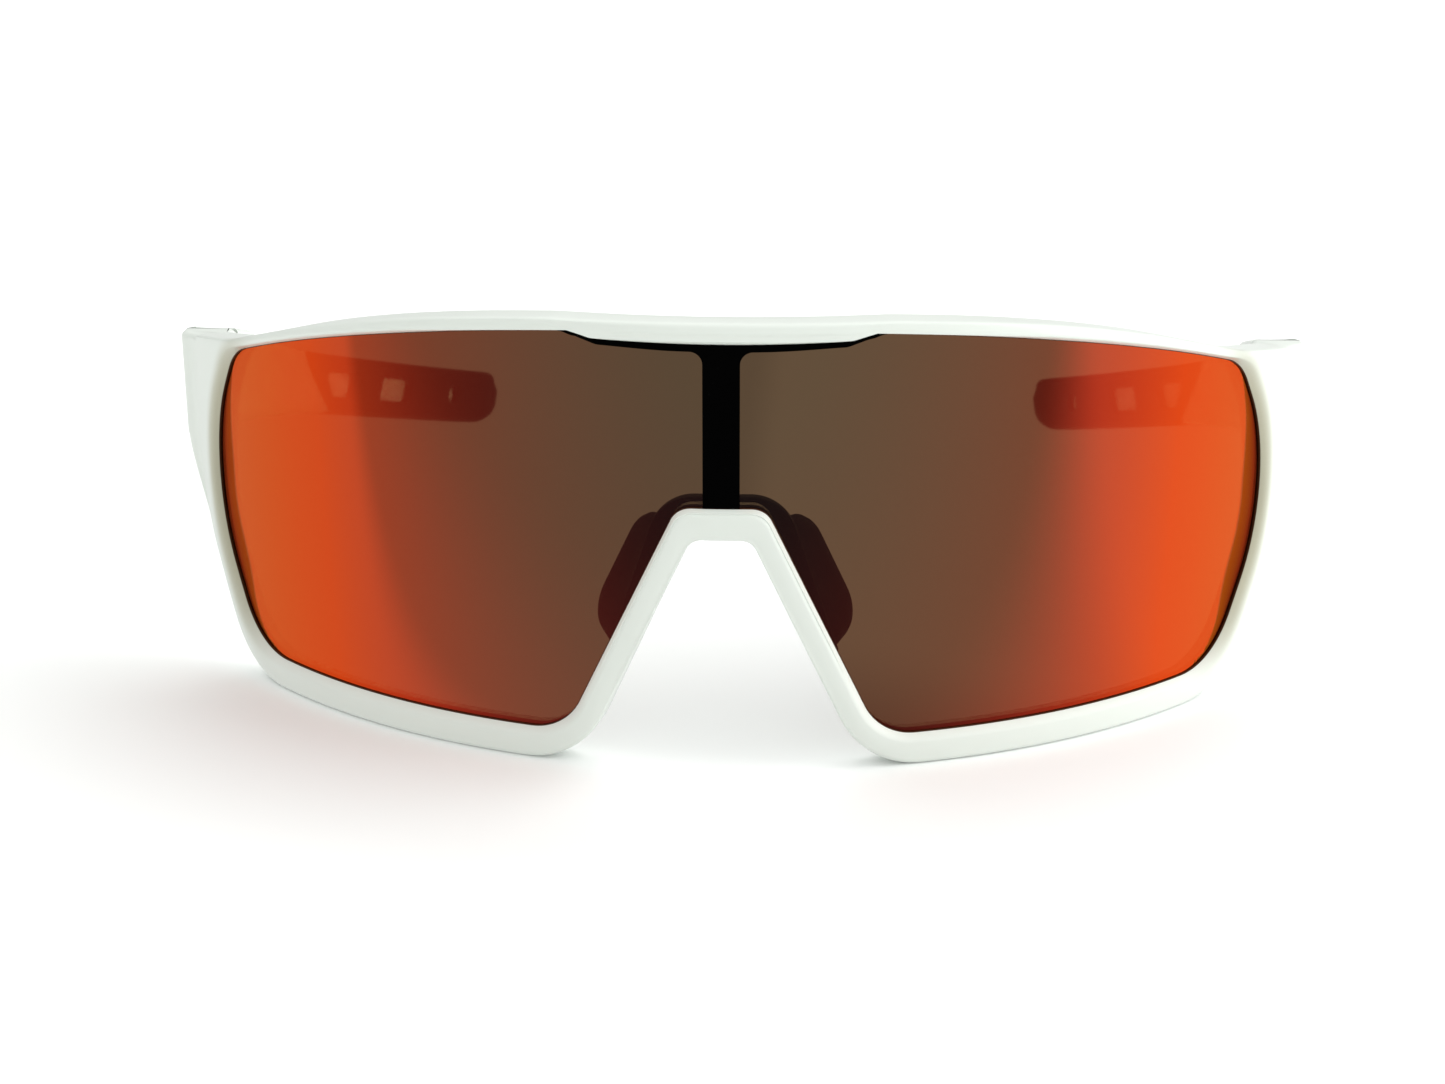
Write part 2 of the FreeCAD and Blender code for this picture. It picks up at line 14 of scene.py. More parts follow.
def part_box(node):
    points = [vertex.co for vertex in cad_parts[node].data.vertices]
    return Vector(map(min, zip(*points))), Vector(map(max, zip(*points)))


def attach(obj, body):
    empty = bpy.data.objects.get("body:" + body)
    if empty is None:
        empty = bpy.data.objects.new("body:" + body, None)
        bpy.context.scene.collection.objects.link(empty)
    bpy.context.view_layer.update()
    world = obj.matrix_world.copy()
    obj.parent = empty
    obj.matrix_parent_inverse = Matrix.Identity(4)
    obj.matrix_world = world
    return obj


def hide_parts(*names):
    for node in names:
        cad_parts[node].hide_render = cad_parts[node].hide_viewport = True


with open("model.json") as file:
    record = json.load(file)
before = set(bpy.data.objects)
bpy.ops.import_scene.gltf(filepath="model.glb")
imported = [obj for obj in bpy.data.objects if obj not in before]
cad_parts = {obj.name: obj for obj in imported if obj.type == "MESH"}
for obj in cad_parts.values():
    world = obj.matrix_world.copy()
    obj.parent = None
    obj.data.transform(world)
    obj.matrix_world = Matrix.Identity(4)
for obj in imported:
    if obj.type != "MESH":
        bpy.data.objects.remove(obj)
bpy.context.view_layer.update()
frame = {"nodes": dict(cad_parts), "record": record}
MM = 0.001

# ---- places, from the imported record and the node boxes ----
hinge = {joint["name"]: joint for joint in frame["record"]["behaviour"]["joints"]}["left_temple_fold"]
hinge_x, hinge_y = [value / MM for value in hinge["pos_m"][:2]]

FRONT_Y = np.array(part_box("front_frame")[0])[1] / MM   # front of the rim at the middle
SHIELD_R = 82.0                        # front face of the shield, an upright cylinder
RIM_FRONT_R = 83.2
RIM_BACK_R = 78.6
SHIELD_BACK_R = 80.0
AXIS_Y = FRONT_Y + RIM_FRONT_R

# corners (arc length, height, corner radius) of the +x half, from the top down
SIGHT_HALF = [(14.4, 52.8, 2.0), (17.0, 53.7, 2.0), (42.2, 52.30, 238.0), (73.3, 43.703, 9.0),
              (85.2, 26.4, 22.0), (70.9, 3.9, 12.5), (19.1, 3.9, 7.0), (5.2, 32.9, 2.6)]
RIM_HALF = [(20.2, 55.0, 30.0), (42.2, 53.602, 178.5), (73.3, 45.205, 40.0), (86.4, 43.2, 1.5),
            (86.4, 20.8, 23.5), (72.5, 0.0, 15.0), (17.31, 0.0, 11.0), (3.5, 29.1, 2.0)]
BROW_SAG, BROW_HALF = 0.3, 14.0        # the brow lip's lower edge hangs by this much over this half width
LEG_SLOPE = (19.1 - 5.2) / (32.9 - 3.6)    # how far the legs at the nose spread for each millimetre down


# ---- arrays and meshes ----
def on_shield(arc, z, radius):
    """Arc length, height and radius to x, y, z: x = R sin(s/82), y = axis - R cos(s/82)."""
    turn = arc / SHIELD_R
    return np.stack([radius * np.sin(turn), AXIS_Y - radius * np.cos(turn), z + 0 * turn], -1)


def outline(half, steps=24):
    """Closed line through corners, each corner a tangent arc of its radius, as an (n, 2) array. The arc
    is centred on the corner's bisector at r / sin(half angle), and runs from tangent to tangent."""
    corners = np.array([(-x, z, r) for x, z, r in half] + list(reversed(half)))
    return rounded_line(corners, steps)


def rounded_line(corners, steps=24):
    """Closed line through (x, y, radius) corners with tangent arcs, as an (n, 2) array."""
    corners = np.asarray(corners, float)
    points, radii = corners[:, :2], corners[:, 2]
    to_before = np.roll(points, 1, 0) - points
    to_after = np.roll(points, -1, 0) - points
    to_before /= np.linalg.norm(to_before, axis=1)[:, None]
    to_after /= np.linalg.norm(to_after, axis=1)[:, None]
    half = np.arccos(np.clip((to_before * to_after).sum(1), -1, 1)) / 2
    bisector = to_before + to_after
    bisector /= np.linalg.norm(bisector, axis=1)[:, None]
    centre = points + bisector * (radii / np.sin(half))[:, None]
    start = points + to_before * (radii / np.tan(half))[:, None] - centre
    end = points + to_after * (radii / np.tan(half))[:, None] - centre
    sweep = np.arctan2(start[:, 0] * end[:, 1] - start[:, 1] * end[:, 0], (start * end).sum(1))
    angle = sweep[:, None] * np.linspace(0, 1, steps)[None, :]
    cos, sin = np.cos(angle)[..., None], np.sin(angle)[..., None]
    turned = start[:, None, :] * cos + np.stack([-start[:, 1], start[:, 0]], 1)[:, None, :] * sin
    return (centre[:, None, :] + turned).reshape(-1, 2)


def arc_lengths(line):
    """Distance along a closed line at each of its points, and its whole length."""
    steps = np.linalg.norm(np.roll(line, -1, 0) - line, axis=1)
    return np.concatenate([[0], np.cumsum(steps)])


def sampled(line, at):
    """Points of a closed line at given distances along it."""
    along = arc_lengths(line)
    closed = np.vstack([line, line[:1]])
    at = np.mod(at, along[-1])
    return np.stack([np.interp(at, along, closed[:, 0]), np.interp(at, along, closed[:, 1])], 1)


def spaced(line, count):
    """A closed line redrawn as a number of evenly spaced points."""
    return sampled(line, np.linspace(0, arc_lengths(line)[-1], count, endpoint=False))


def sagged(line):
    """The brow lip's lower edge hangs in the middle: height less sag (1 - (s / half width)^2)."""
    drop = BROW_SAG * np.clip(1 - (line[:, 0] / BROW_HALF) ** 2, 0, 1) * (line[:, 1] > 50)
    return np.stack([line[:, 0], line[:, 1] - drop], 1)


def outward(line):
    """Unit normals of a closed anticlockwise line, pointing out of it."""
    run = np.roll(line, -1, 0) - np.roll(line, 1, 0)
    run /= np.linalg.norm(run, axis=1)[:, None]
    return np.stack([run[:, 1], -run[:, 0]], 1)


def grid_faces(rows, columns, close_rows=False, close_columns=False):
    """Quads of a grid of rows x columns points, wrapped round where it closes."""
    i = np.arange(rows if close_rows else rows - 1)[:, None]
    j = np.arange(columns if close_columns else columns - 1)[None, :]
    i2, j2 = (i + 1) % rows, (j + 1) % columns
    return np.stack([i * columns + j, i2 * columns + j, i2 * columns + j2, i * columns + j2],
                    -1).reshape(-1, 4)


def make_mesh(name, points, faces, extra=(), smooth=True):
    """Mesh object from an array of points in millimetres, an array of quads and a few larger faces."""
    mesh = bpy.data.meshes.new(name)
    polygons = [list(map(int, face)) for face in faces] + [list(map(int, face)) for face in extra]
    mesh.from_pydata((np.asarray(points, float).reshape(-1, 3) * MM).tolist(), [], polygons)
    mesh.validate()
    mesh.update()
    mesh.polygons.foreach_set("use_smooth", np.full(len(mesh.polygons), smooth))
    piece = bpy.data.objects.new(name, mesh)
    bpy.context.scene.collection.objects.link(piece)
    return piece


def face_out(piece):
    """Turns every face of a closed shell outwards."""
    work = bmesh.new()
    work.from_mesh(piece.data)
    bmesh.ops.remove_doubles(work, verts=work.verts, dist=1e-7)
    bmesh.ops.recalc_face_normals(work, faces=work.faces)
    work.to_mesh(piece.data)
    work.free()
    return piece


def tube(name, rings, closed_path=False):
    """Closed shell from an array of rings (path, round, xyz): quads between neighbours and a face at
    each end."""
    count, around = rings.shape[:2]
    ends = [] if closed_path else [np.arange(around)[::-1], (count - 1) * around + np.arange(around)]
    return face_out(make_mesh(name, rings, grid_faces(count, around, closed_path, True), ends))


def mirrored(piece, name):
    """A copy on the other side of the object, with its faces turned back outwards."""
    mesh = piece.data.copy()
    mesh.name = name
    mesh.transform(Matrix.Scale(-1, 4, Vector((1, 0, 0))))
    mesh.flip_normals()
    other = bpy.data.objects.new(name, mesh)
    bpy.context.scene.collection.objects.link(other)
    return other


def applied(piece):
    """Applies every modifier of a piece to its mesh."""
    graph = bpy.context.evaluated_depsgraph_get()
    mesh = bpy.data.meshes.new_from_object(piece.evaluated_get(graph))
    piece.modifiers.clear()
    old = piece.data
    piece.data = mesh
    bpy.data.meshes.remove(old)
    return piece


def combined(piece, others, operation):
    """Joins closed shells to a piece, or cuts them from it, and removes them."""
    for other in others:
        boolean = piece.modifiers.new("shape", "BOOLEAN")
        boolean.operation = operation
        boolean.solver = "MANIFOLD"
        boolean.object = other
        bpy.context.view_layer.update()
        applied(piece)
        bpy.data.objects.remove(other)
    return piece


def soften(piece, degrees):
    """Smooth shading that keeps edges sharper than an angle."""
    piece.data.set_sharp_from_angle(angle=math.radians(degrees))
    return piece


def bar(name, x, y, z_low, z_high, radius, steps=64):
    """Upright round bar, a ring of points at its foot and one at its head."""
    turn = np.linspace(0, 2 * math.pi, steps, endpoint=False)
    rings = np.stack([np.stack([x + radius * np.cos(turn), y + radius * np.sin(turn), z + 0 * turn], -1)
                      for z in (z_low, z_high)])
    return tube(name, rings)


def slab(name, plan, levels):
    """Upright block over a closed plan line: at each level (height, inset) the line is drawn in by the
    inset."""
    normal = outward(plan)
    rings = np.stack([np.column_stack([plan - normal * inset, np.full(len(plan), z)])
                      for z, inset in levels])
    return tube(name, rings)


def rounded_levels(low, high, radius, steps=5):
    """Heights and insets of a block whose top and bottom edges are quarter rounds."""
    turn = np.linspace(0, math.pi / 2, steps)
    below = [(low + radius * (1 - math.sin(t)), radius * (1 - math.cos(t))) for t in turn[::-1]]
    above = [(high - radius * (1 - math.sin(t)), radius * (1 - math.cos(t))) for t in turn]
    return below + above


# ---- rim: a section carried round the matched inner and outer outlines ----
def matched_outlines(spacing=0.45):
    """Two arrays of points, on the opening's edge and on the rim's outside, that belong to the same
    section. Between pairs of matching places the distance along each outline runs evenly."""
    inner, outer = outline(SIGHT_HALF), outline(RIM_HALF)
    steps = 24
    inner_along, outer_along = arc_lengths(inner), arc_lengths(outer)

    def at(along, corner, share):
        return along[int(corner * steps + round(share * (steps - 1)))]
    # corners run 0..7 down the -x half and 8..15 up the +x half
    left = [(0, 1.0, 0, 1.0), (2, 0.5, 1, 0.5), (3, 0.0, 2, 0.7), (3, 1.0, 3, 0.5), (4, 0.5, 4, 0.5),
            (5, 0.0, 5, 0.0), (5, 1.0, 5, 1.0), (6, 0.0, 6, 0.0), (6, 1.0, 6, 1.0), (7, 0.0, 7, 0.0),
            (7, 1.0, 7, 1.0)]
    pairs = [(at(inner_along, a, b), at(outer_along, c, d)) for a, b, c, d in left]
    inner_all, outer_all = inner_along[-1], outer_along[-1]
    # the +x half is the mirror image: distances count back from the middle of the lower edge
    inner_low, outer_low = middle_distance(inner, inner_along), middle_distance(outer, outer_along)
    pairs += [(2 * inner_low - a, 2 * outer_low - b) for a, b in reversed(pairs)]
    inner_at, outer_at = [], []
    for k in range(len(pairs)):
        a0, b0 = pairs[k]
        a1, b1 = pairs[(k + 1) % len(pairs)]
        if k + 1 == len(pairs):
            a1, b1 = a1 + inner_all, b1 + outer_all
        count = max(2, int(math.ceil(max(a1 - a0, b1 - b0) / spacing)))
        share = np.arange(count) / count
        inner_at.append(a0 + share * (a1 - a0))
        outer_at.append(b0 + share * (b1 - b0))
    return sagged(sampled(inner, np.concatenate(inner_at))), sampled(outer, np.concatenate(outer_at))


def middle_distance(line, along):
    """Distance along an outline at which it crosses the middle plane in its lower edge."""
    signs = np.sign(line[:, 0])
    low = np.where((signs < 0) & (np.roll(signs, -1) > 0))[0]
    k = low[np.argmin(line[low, 1])]
    nxt = (k + 1) % len(line)
    share = -line[k, 0] / (line[nxt, 0] - line[k, 0])
    step = np.linalg.norm(line[nxt] - line[k])
    return along[k] + share * step


def rim_section(steps=16):
    """Section of the rim as (share of its width, fixed distance, share of the bevel, radius) rows, once
    round. From the rear face up the opening's wall, round the groove, over the bevel, the front and
    down the outside."""
    quarter = np.linspace(0, math.pi / 2, 5)
    back_round, front_round, bevel_low, bevel_high = 0.35, 0.75, 82.3, RIM_FRONT_R - 0.04
    groove_low, groove_high, reach = SHIELD_BACK_R - 0.06, SHIELD_R + 0.06, 1.06
    rows = [(0, back_round * (1 - math.sin(t)), 0, RIM_BACK_R + back_round * (1 - math.cos(t)))
            for t in quarter]
    rows += [(0, 0, 0, groove_low - 0.3), (0, 0, 0, groove_low), (0, reach, 0, groove_low),
             (0, reach, 0, groove_high), (0, 0, 0, groove_high), (0, 0, 0, bevel_low - 0.1)]
    for t in np.linspace(0, 1, 8):
        rows.append((0, 0.04 * t, t, bevel_low + (bevel_high - bevel_low) * (1 - (1 - t) ** 1.6)))
    for t in np.linspace(0, 1, steps)[1:-1]:
        rows.append((t, -front_round * t, 1 - t, bevel_high + 0.04 * math.sin(math.pi * t) - 0.1 * t ** 2))
    for t in quarter:
        rows.append((1, -front_round * (1 - math.sin(t)), 0,
                     bevel_high - 0.1 - front_round * (1 - math.cos(t))))
    rows += [(1, 0, 0, 81.6), (1, 0, 0, 80.4)]
    for t in quarter:
        rows.append((1, -back_round * (1 - math.cos(t)), 0, RIM_BACK_R + back_round * (1 - math.sin(t))))
    for t in np.linspace(1, 0, 6)[1:-1]:
        rows.append((t, back_round * (1 - 2 * t), 0, RIM_BACK_R))
    return np.array(rows)


def smooth_step(value, low, high):
    """0 below low, 1 above high, and a smooth rise between."""
    t = np.clip((value - low) / (high - low), 0, 1)
    return t * t * (3 - 2 * t)


def rim():
    """The section carried round: point = inner + (share width + distance) along the line to outer.
    A shallow crease runs along the brow where its lip starts."""
    inner, outer = matched_outlines()
    across = outer - inner
    width = np.linalg.norm(across, axis=1)
    direction = across / width[:, None]
    rows = rim_section()
    beside = smooth_step(np.abs(inner[:, 0]), 66.0, 78.0)
    above = smooth_step(inner[:, 1], 44.0, 50.0) * (1 - beside)
    bevel = 0.95 + 0.75 * beside - 0.45 * above
    offset = (rows[:, 0][None, :] * width[:, None] + rows[:, 1][None, :]
              + rows[:, 2][None, :] * bevel[:, None])
    place = inner[:, None, :] + direction[:, None, :] * offset[..., None]
    radius = np.broadcast_to(rows[:, 3], offset.shape).copy()
    arc, z = place[..., 0], place[..., 1]
    on_front = radius > RIM_FRONT_R - 0.35
    on_brow = 1 - smooth_step(np.abs(arc), 11.0, 17.5)
    lip = smooth_step(-z, -53.95, -53.55) * on_brow
    radius -= on_front * 0.2 * lip
    return tube("frame_white", on_shield(arc, z, radius), closed_path=True)


# ---- endpieces and hinge ears ----
END_OUT_X = hinge_x + 3.8
BUTT_Y = hinge_y - 3.0
END_LOW, END_HIGH = 29.4, 43.2
KNUCKLE_R = 2.3
EARS = ((31.55, 33.95), (39.25, 41.65))
SHANK_HOLE_R, HEAD_SEAT_R, INSERT_SEAT_R, BUSH_SEAT_R = 0.76, 1.32, 1.25, 1.2
CUT_LOW, CUT_HIGH = 30.0, 44.0         # bores run past the ears at both ends


def rim_side(z):
    """Arc length of the rim's outer side at a height: straight above, then one arc into the lower
    corner."""
    line = outline(RIM_HALF, 60)
    line = line[(line[:, 0] > 60) & (line[:, 1] < 43.1)]
    order = np.argsort(line[:, 1])
    return np.interp(z, line[order, 1], line[order, 0])


def endpiece():
    """Stack of plan lines. The full plan leaves the rim's front, runs out to the cheek and back to the
    temple's seat; below it each line draws in towards one hidden in the rim, its back first, then its
    cheek, so that a fairing runs down the rim's side."""
    root = on_shield(np.array(83.2), 0, 83.0)
    halfway = on_shield(np.array(85.1), 0, 83.12)
    shoulder = on_shield(np.array(86.9), 0, 83.0)
    inner_root = on_shield(np.array(83.4), 0, RIM_BACK_R + 0.2)
    corners = [(root[0], root[1], 0.2), (halfway[0], halfway[1], 2.0), (shoulder[0], shoulder[1], 5.5),
               (END_OUT_X, BUTT_Y - 2.6, 1.6), (END_OUT_X, BUTT_Y, 0.3),
               (hinge_x - KNUCKLE_R - 0.6, BUTT_Y, 0.5), (inner_root[0], inner_root[1], 0.3)]
    plan = rounded_line(corners, 10)
    plan = spaced(plan, 180)
    arc = SHIELD_R * np.arctan2(plan[:, 0], AXIS_Y - plan[:, 1])
    radius = np.hypot(plan[:, 0], AXIS_Y - plan[:, 1])
    hidden_arc = np.clip(arc, 83.6, 85.7)
    hidden_radius = np.clip(radius, RIM_BACK_R + 0.6, RIM_FRONT_R - 0.7)
    edge = 0.75
    levels = [(z, 0.0, 1.0, 1.0) for z in np.linspace(END_LOW, END_HIGH - edge, 12)]
    turn = np.linspace(0, math.pi / 2, 6)[1:]
    levels += [(END_HIGH - 0.02 - edge * (1 - math.sin(t)), edge * (1 - math.cos(t)), 1.0, 1.0) for t in turn]
    low = [(z, 0.0, smooth_step(z, 9.0, END_LOW + 3) ** 1.1, smooth_step(z, 19.0, END_LOW + 0.5))
           for z in np.linspace(9.0, END_LOW, 34)[:-1]]
    rings = []
    for z, inset, stand_out, back_reach in low + levels:
        line = plan - outward(plan) * inset
        s_here = SHIELD_R * np.arctan2(line[:, 0], AXIS_Y - line[:, 1])
        r_here = np.hypot(line[:, 0], AXIS_Y - line[:, 1])
        behind = smooth_step(-(r_here - s_here), 3.0, 9.0)
        weight = stand_out * (1 - behind) + back_reach * behind
        shift = 86.4 - rim_side(min(z, 43.0)) if z < END_LOW else 0.0
        s_level = hidden_arc + (s_here - hidden_arc) * weight - shift
        r_level = hidden_radius + (r_here - hidden_radius) * weight
        rings.append(on_shield(s_level, z, r_level))
    return tube("endpiece", np.stack(rings))


def ear(low, high):
    """Round-ended lug on the pin's axis, with a straight root into the endpiece."""
    turn = np.linspace(0, math.pi, 40)
    arc = np.stack([hinge_x + KNUCKLE_R * np.cos(turn), hinge_y + KNUCKLE_R * np.sin(turn)], 1)
    foot = np.array([(hinge_x - KNUCKLE_R, hinge_y - 0.3), (hinge_x - 0.5, hinge_y - 1.2),
                     (hinge_x - 0.5, BUTT_Y - 0.5), (hinge_x + KNUCKLE_R, BUTT_Y - 0.5)])
    return slab("ear", np.vstack([arc, foot]), rounded_levels(low, high, 0.18, 3))


def white_front():
    """Rim, both endpieces and their bored ears, in one shell."""
    body = rim()
    parts = []
    for side in (1, -1):
        made = [endpiece()] + [ear(*span) for span in EARS]
        cuts = [bar("bore", hinge_x, hinge_y, CUT_LOW, CUT_HIGH, SHANK_HOLE_R),
                bar("seat", hinge_x, hinge_y, 40.84, CUT_HIGH, HEAD_SEAT_R),
                bar("insert_seat", hinge_x, hinge_y, 31.0, 34.2, INSERT_SEAT_R)]
        block = combined(made[0], made[1:], "UNION")
        block = combined(block, cuts, "DIFFERENCE")
        if side < 0:
            flipped = mirrored(block, "endpiece_right")
            bpy.data.objects.remove(block)
            block = flipped
        parts.append(block)
    body = combined(body, parts, "UNION")
    # paints brown shade on the rim's bevel beside the opening's two sides
    painted_bevel_shade(body)
    return soften(body, 32)


def unrolled(piece):
    """Arc length, height and radius of every vertex of a piece."""
    places = np.zeros(len(piece.data.vertices) * 3)
    piece.data.vertices.foreach_get("co", places)
    places = places.reshape(-1, 3) / MM
    arc = SHIELD_R * np.arctan2(places[:, 0], AXIS_Y - places[:, 1])
    return arc, places[:, 2], np.hypot(places[:, 0], places[:, 1] - AXIS_Y)


def sight_line(count, steps=60):
    """The opening's edge as evenly spaced points."""
    return sagged(spaced(outline(SIGHT_HALF, steps), count))


def painted_bevel_shade(piece):
    """Stores how much painted shade, tinted brown as if by light through the shield, falls on the rim: all
    beside the opening's edge at the two sides, fading over 2.8 mm outwards, and none towards the middle."""
    arc, z, radius = unrolled(piece)
    near = (np.abs(arc) > 60) & (radius > SHIELD_R)
    sight = sight_line(600)
    gap = np.full(len(arc), 9.0)
    gap[near] = np.hypot(arc[near, None] - sight[None, :, 0], z[near, None] - sight[None, :, 1]).min(1)
    share = (1 - smooth_step(gap, 0.2, 2.8)) * smooth_step(np.abs(arc), 64.0, 78.0)
    store = piece.data.attributes.new("painted_bevel_shade", "FLOAT", "POINT")
    store.data.foreach_set("value", share.astype(np.float32))


# ---- shield: columns from its lower edge to its upper edge ----
SHADE_BAND_WIDTH = 5.0                      # width of the painted shade band at the shield's two ends


def shield():
    """Grid of columns over arc length: in each column the height runs evenly from the lower edge line
    to the upper. Columns crowd towards the two ends, where the edge lines meet, as the sine of an even
    parameter."""
    reach = 1.0
    sight = sight_line(2400)
    edge = sight + outward(sight) * reach
    right = int(np.argmax(edge[:, 0]))
    left = int(np.argmin(edge[:, 0]))
    order = np.roll(edge, -left, 0)
    right = (right - left) % len(edge)
    lower, upper = order[:right + 1], np.vstack([order[right:], order[:1]])[::-1]
    half = min(-lower[0, 0], lower[-1, 0])
    arc = half * np.sin(np.linspace(-math.pi / 2, math.pi / 2, 421))
    z_low = np.interp(arc, lower[:, 0], lower[:, 1])
    z_high = np.interp(arc, upper[:, 0], upper[:, 1])
    share = np.linspace(0, 1, 71)
    z = z_low[:, None] + (z_high - z_low)[:, None] * share[None, :]
    arcs = np.repeat(arc[:, None], len(share), 1)
    front = on_shield(arcs, z, SHIELD_R)
    back = on_shield(arcs, z, SHIELD_BACK_R)
    piece = tube("shield", np.concatenate([front, back[:, ::-1]], 1))
    centres = np.zeros(len(piece.data.polygons) * 3)
    piece.data.polygons.foreach_get("center", centres)
    centres = centres.reshape(-1, 3) / MM
    coated = np.hypot(centres[:, 0], centres[:, 1] - AXIS_Y) > SHIELD_R - 0.05
    for finish_of_face in (sheet_finish("shield_sheet"), coated_finish("mirror_shield")):
        piece.data.materials.append(finish_of_face)
    piece.data.polygons.foreach_set("material_index", coated.astype(np.int32))
    # the share that places the painted shade band along the side edges
    shade_band_share(piece, sight)
    return soften(piece, 60)


def shade_band_share(piece, sight):
    """Stores on each vertex how far in from the opening's edge it lies, as a share of the painted shade
    band's
    width: distance / (nothing at the top, bottom and nose, up to the band's set width at the two sides), from
    0 to 1.
    to 1."""
    arc, z, _ = unrolled(piece)
    far = np.full(len(arc), 9.0)
    near = np.abs(arc) > 60
    gap = np.hypot(arc[near, None] - sight[None, ::4, 0], z[near, None] - sight[None, ::4, 1])
    far[near] = gap.min(1)
    span = 0.01 + SHADE_BAND_WIDTH * (smooth_step(z, 1.0, 19.0) * (1 - smooth_step(z, 26.0, 45.0))
                                 * smooth_step(np.abs(arc), 62.0, 72.0))
    store = piece.data.attributes.new("shade_band_share", "FLOAT", "POINT")
    store.data.foreach_set("value", np.clip(far / span, 0, 1).astype(np.float32))


# ---- strut and dark edge band ----
def dark_edge_band(thickness=0.1, high=82.27):
    """A thin dark brown band along the opening's wall, between the shield and the rim's front lip."""
    edge = sight_line(1000, 40)
    normal = outward(edge)
    rows = [(0.02, SHIELD_R + 0.01), (0.02, high), (-0.5 * thickness, high), (-thickness, high - 0.06),
            (-thickness, SHIELD_R + 0.01)]
    rings = np.stack([on_shield(edge[:, 0] + normal[:, 0] * off, edge[:, 1] + normal[:, 1] * off, r)
                      for off, r in rows], 1)
    return tube("shield_dark_edge_band", rings, closed_path=True)


def tee():
    """Columns over arc length, each from a lower line to an upper line. The upper line follows the
    opening's top edge; the lower is a strip's width below it, tapering at both ends, with a round into
    the stem, whose columns reach the bridge. Every column is a thin slab on the shield's front."""
    thick, half, corner, foot, strip, end = 0.35, 2.15, 1.5, 32.98, 0.85, 19.0
    edge = sight_line(4000)
    edge = edge[(edge[:, 1] > 48) & (np.abs(edge[:, 0]) < 40)]
    edge = edge[np.argsort(edge[:, 0], kind="stable")]
    side = np.concatenate([np.linspace(half, half + 0.02, 2), half + corner * (1 - np.cos(np.linspace(
        0.12, math.pi / 2, 14))), np.linspace(half + corner + 0.3, end, 44)])
    arc = np.concatenate([-side[::-1], np.linspace(-half + 0.001, half - 0.001, 9), side])
    off = np.abs(arc)
    high = np.interp(arc, edge[:, 0], edge[:, 1]) - 0.03
    low = high - 0.1 - (strip - 0.1 - 0.15 * smooth_step(off, 5.0, 14.0)) * (1 - smooth_step(off, 17.0, end))
    bend = np.clip(1 - ((off - half - corner) / corner) ** 2, 0, 1)
    low = np.where(off < half + corner, low - corner * (1 - np.sqrt(bend)), low)
    low = np.where(off < half, foot, low)
    share = np.linspace(0, 1, 10)
    z = low[:, None] + (high - low)[:, None] * share
    arcs = arc[:, None] + 0 * z
    rings = np.concatenate([on_shield(arcs, z, SHIELD_R + thick),
                            on_shield(arcs, z, SHIELD_R + 0.004)[:, ::-1]], 1)
    return tube("strut_black", rings)


# ---- nose piece ----
def nose_arch():
    """Rounded bar swept along the arch: section 3 wide and 1.6 deep with rounded edges, in the shield's
    curve."""
    foot, crown = 19.1 - LEG_SLOPE * (14.0 - 3.6) + 0.4, 7.7
    top, width = 33.4, 3.0
    # right half of the outer edge, from the foot up and over, then mirrored
    corner = np.array([crown, top])
    down = np.array([foot - crown, 14.0 - top])
    down /= np.linalg.norm(down)
    across = np.array([-1.0, 0.0])
    half = math.acos(float(down @ across)) / 2
    radius = 6.0
    start, end = corner + down * radius / math.tan(half), corner + across * radius / math.tan(half)
    bisector = (down + across) / np.linalg.norm(down + across)
    centre = corner + bisector * radius / math.sin(half)
    a0 = math.atan2(*(start - centre)[::-1])
    a1 = math.atan2(*(end - centre)[::-1])
    arc = centre + radius * np.stack([np.cos(np.linspace(a0, a1, 20)), np.sin(np.linspace(a0, a1, 20))], 1)
    leg = np.array([foot, 14.0]) + np.linspace(0, 1, 40)[:, None] * (start - np.array([foot, 14.0]))
    flat = end + np.linspace(0, 1, 8)[1:, None] * (np.array([0.0, top]) - end)
    right = np.vstack([leg[:-1], arc, flat])
    line = np.vstack([right, (right * (-1, 1))[::-1][1:]])
    run = np.gradient(line, axis=0)
    run /= np.linalg.norm(run, axis=1)[:, None]
    inward = np.stack([-run[:, 1], run[:, 0]], 1)
    edge = 0.35
    section = []
    for cx, cy, t0 in ((width - edge, edge, -math.pi / 2), (width - edge, 1.55 - edge, 0),
                       (edge, 1.55 - edge, math.pi / 2), (edge, edge, math.pi)):
        for t in np.linspace(t0, t0 + math.pi / 2, 5):
            section.append((cx + edge * math.cos(t), cy + edge * math.sin(t)))
    section = np.array(section)
    arcs = line[:, None, 0] + inward[:, None, 0] * section[:, 0]
    z = line[:, None, 1] + inward[:, None, 1] * section[:, 0]
    radius = RIM_BACK_R - 0.02 - np.broadcast_to(section[:, 1], arcs.shape)
    return tube("nose_arch", on_shield(arcs, z, radius))


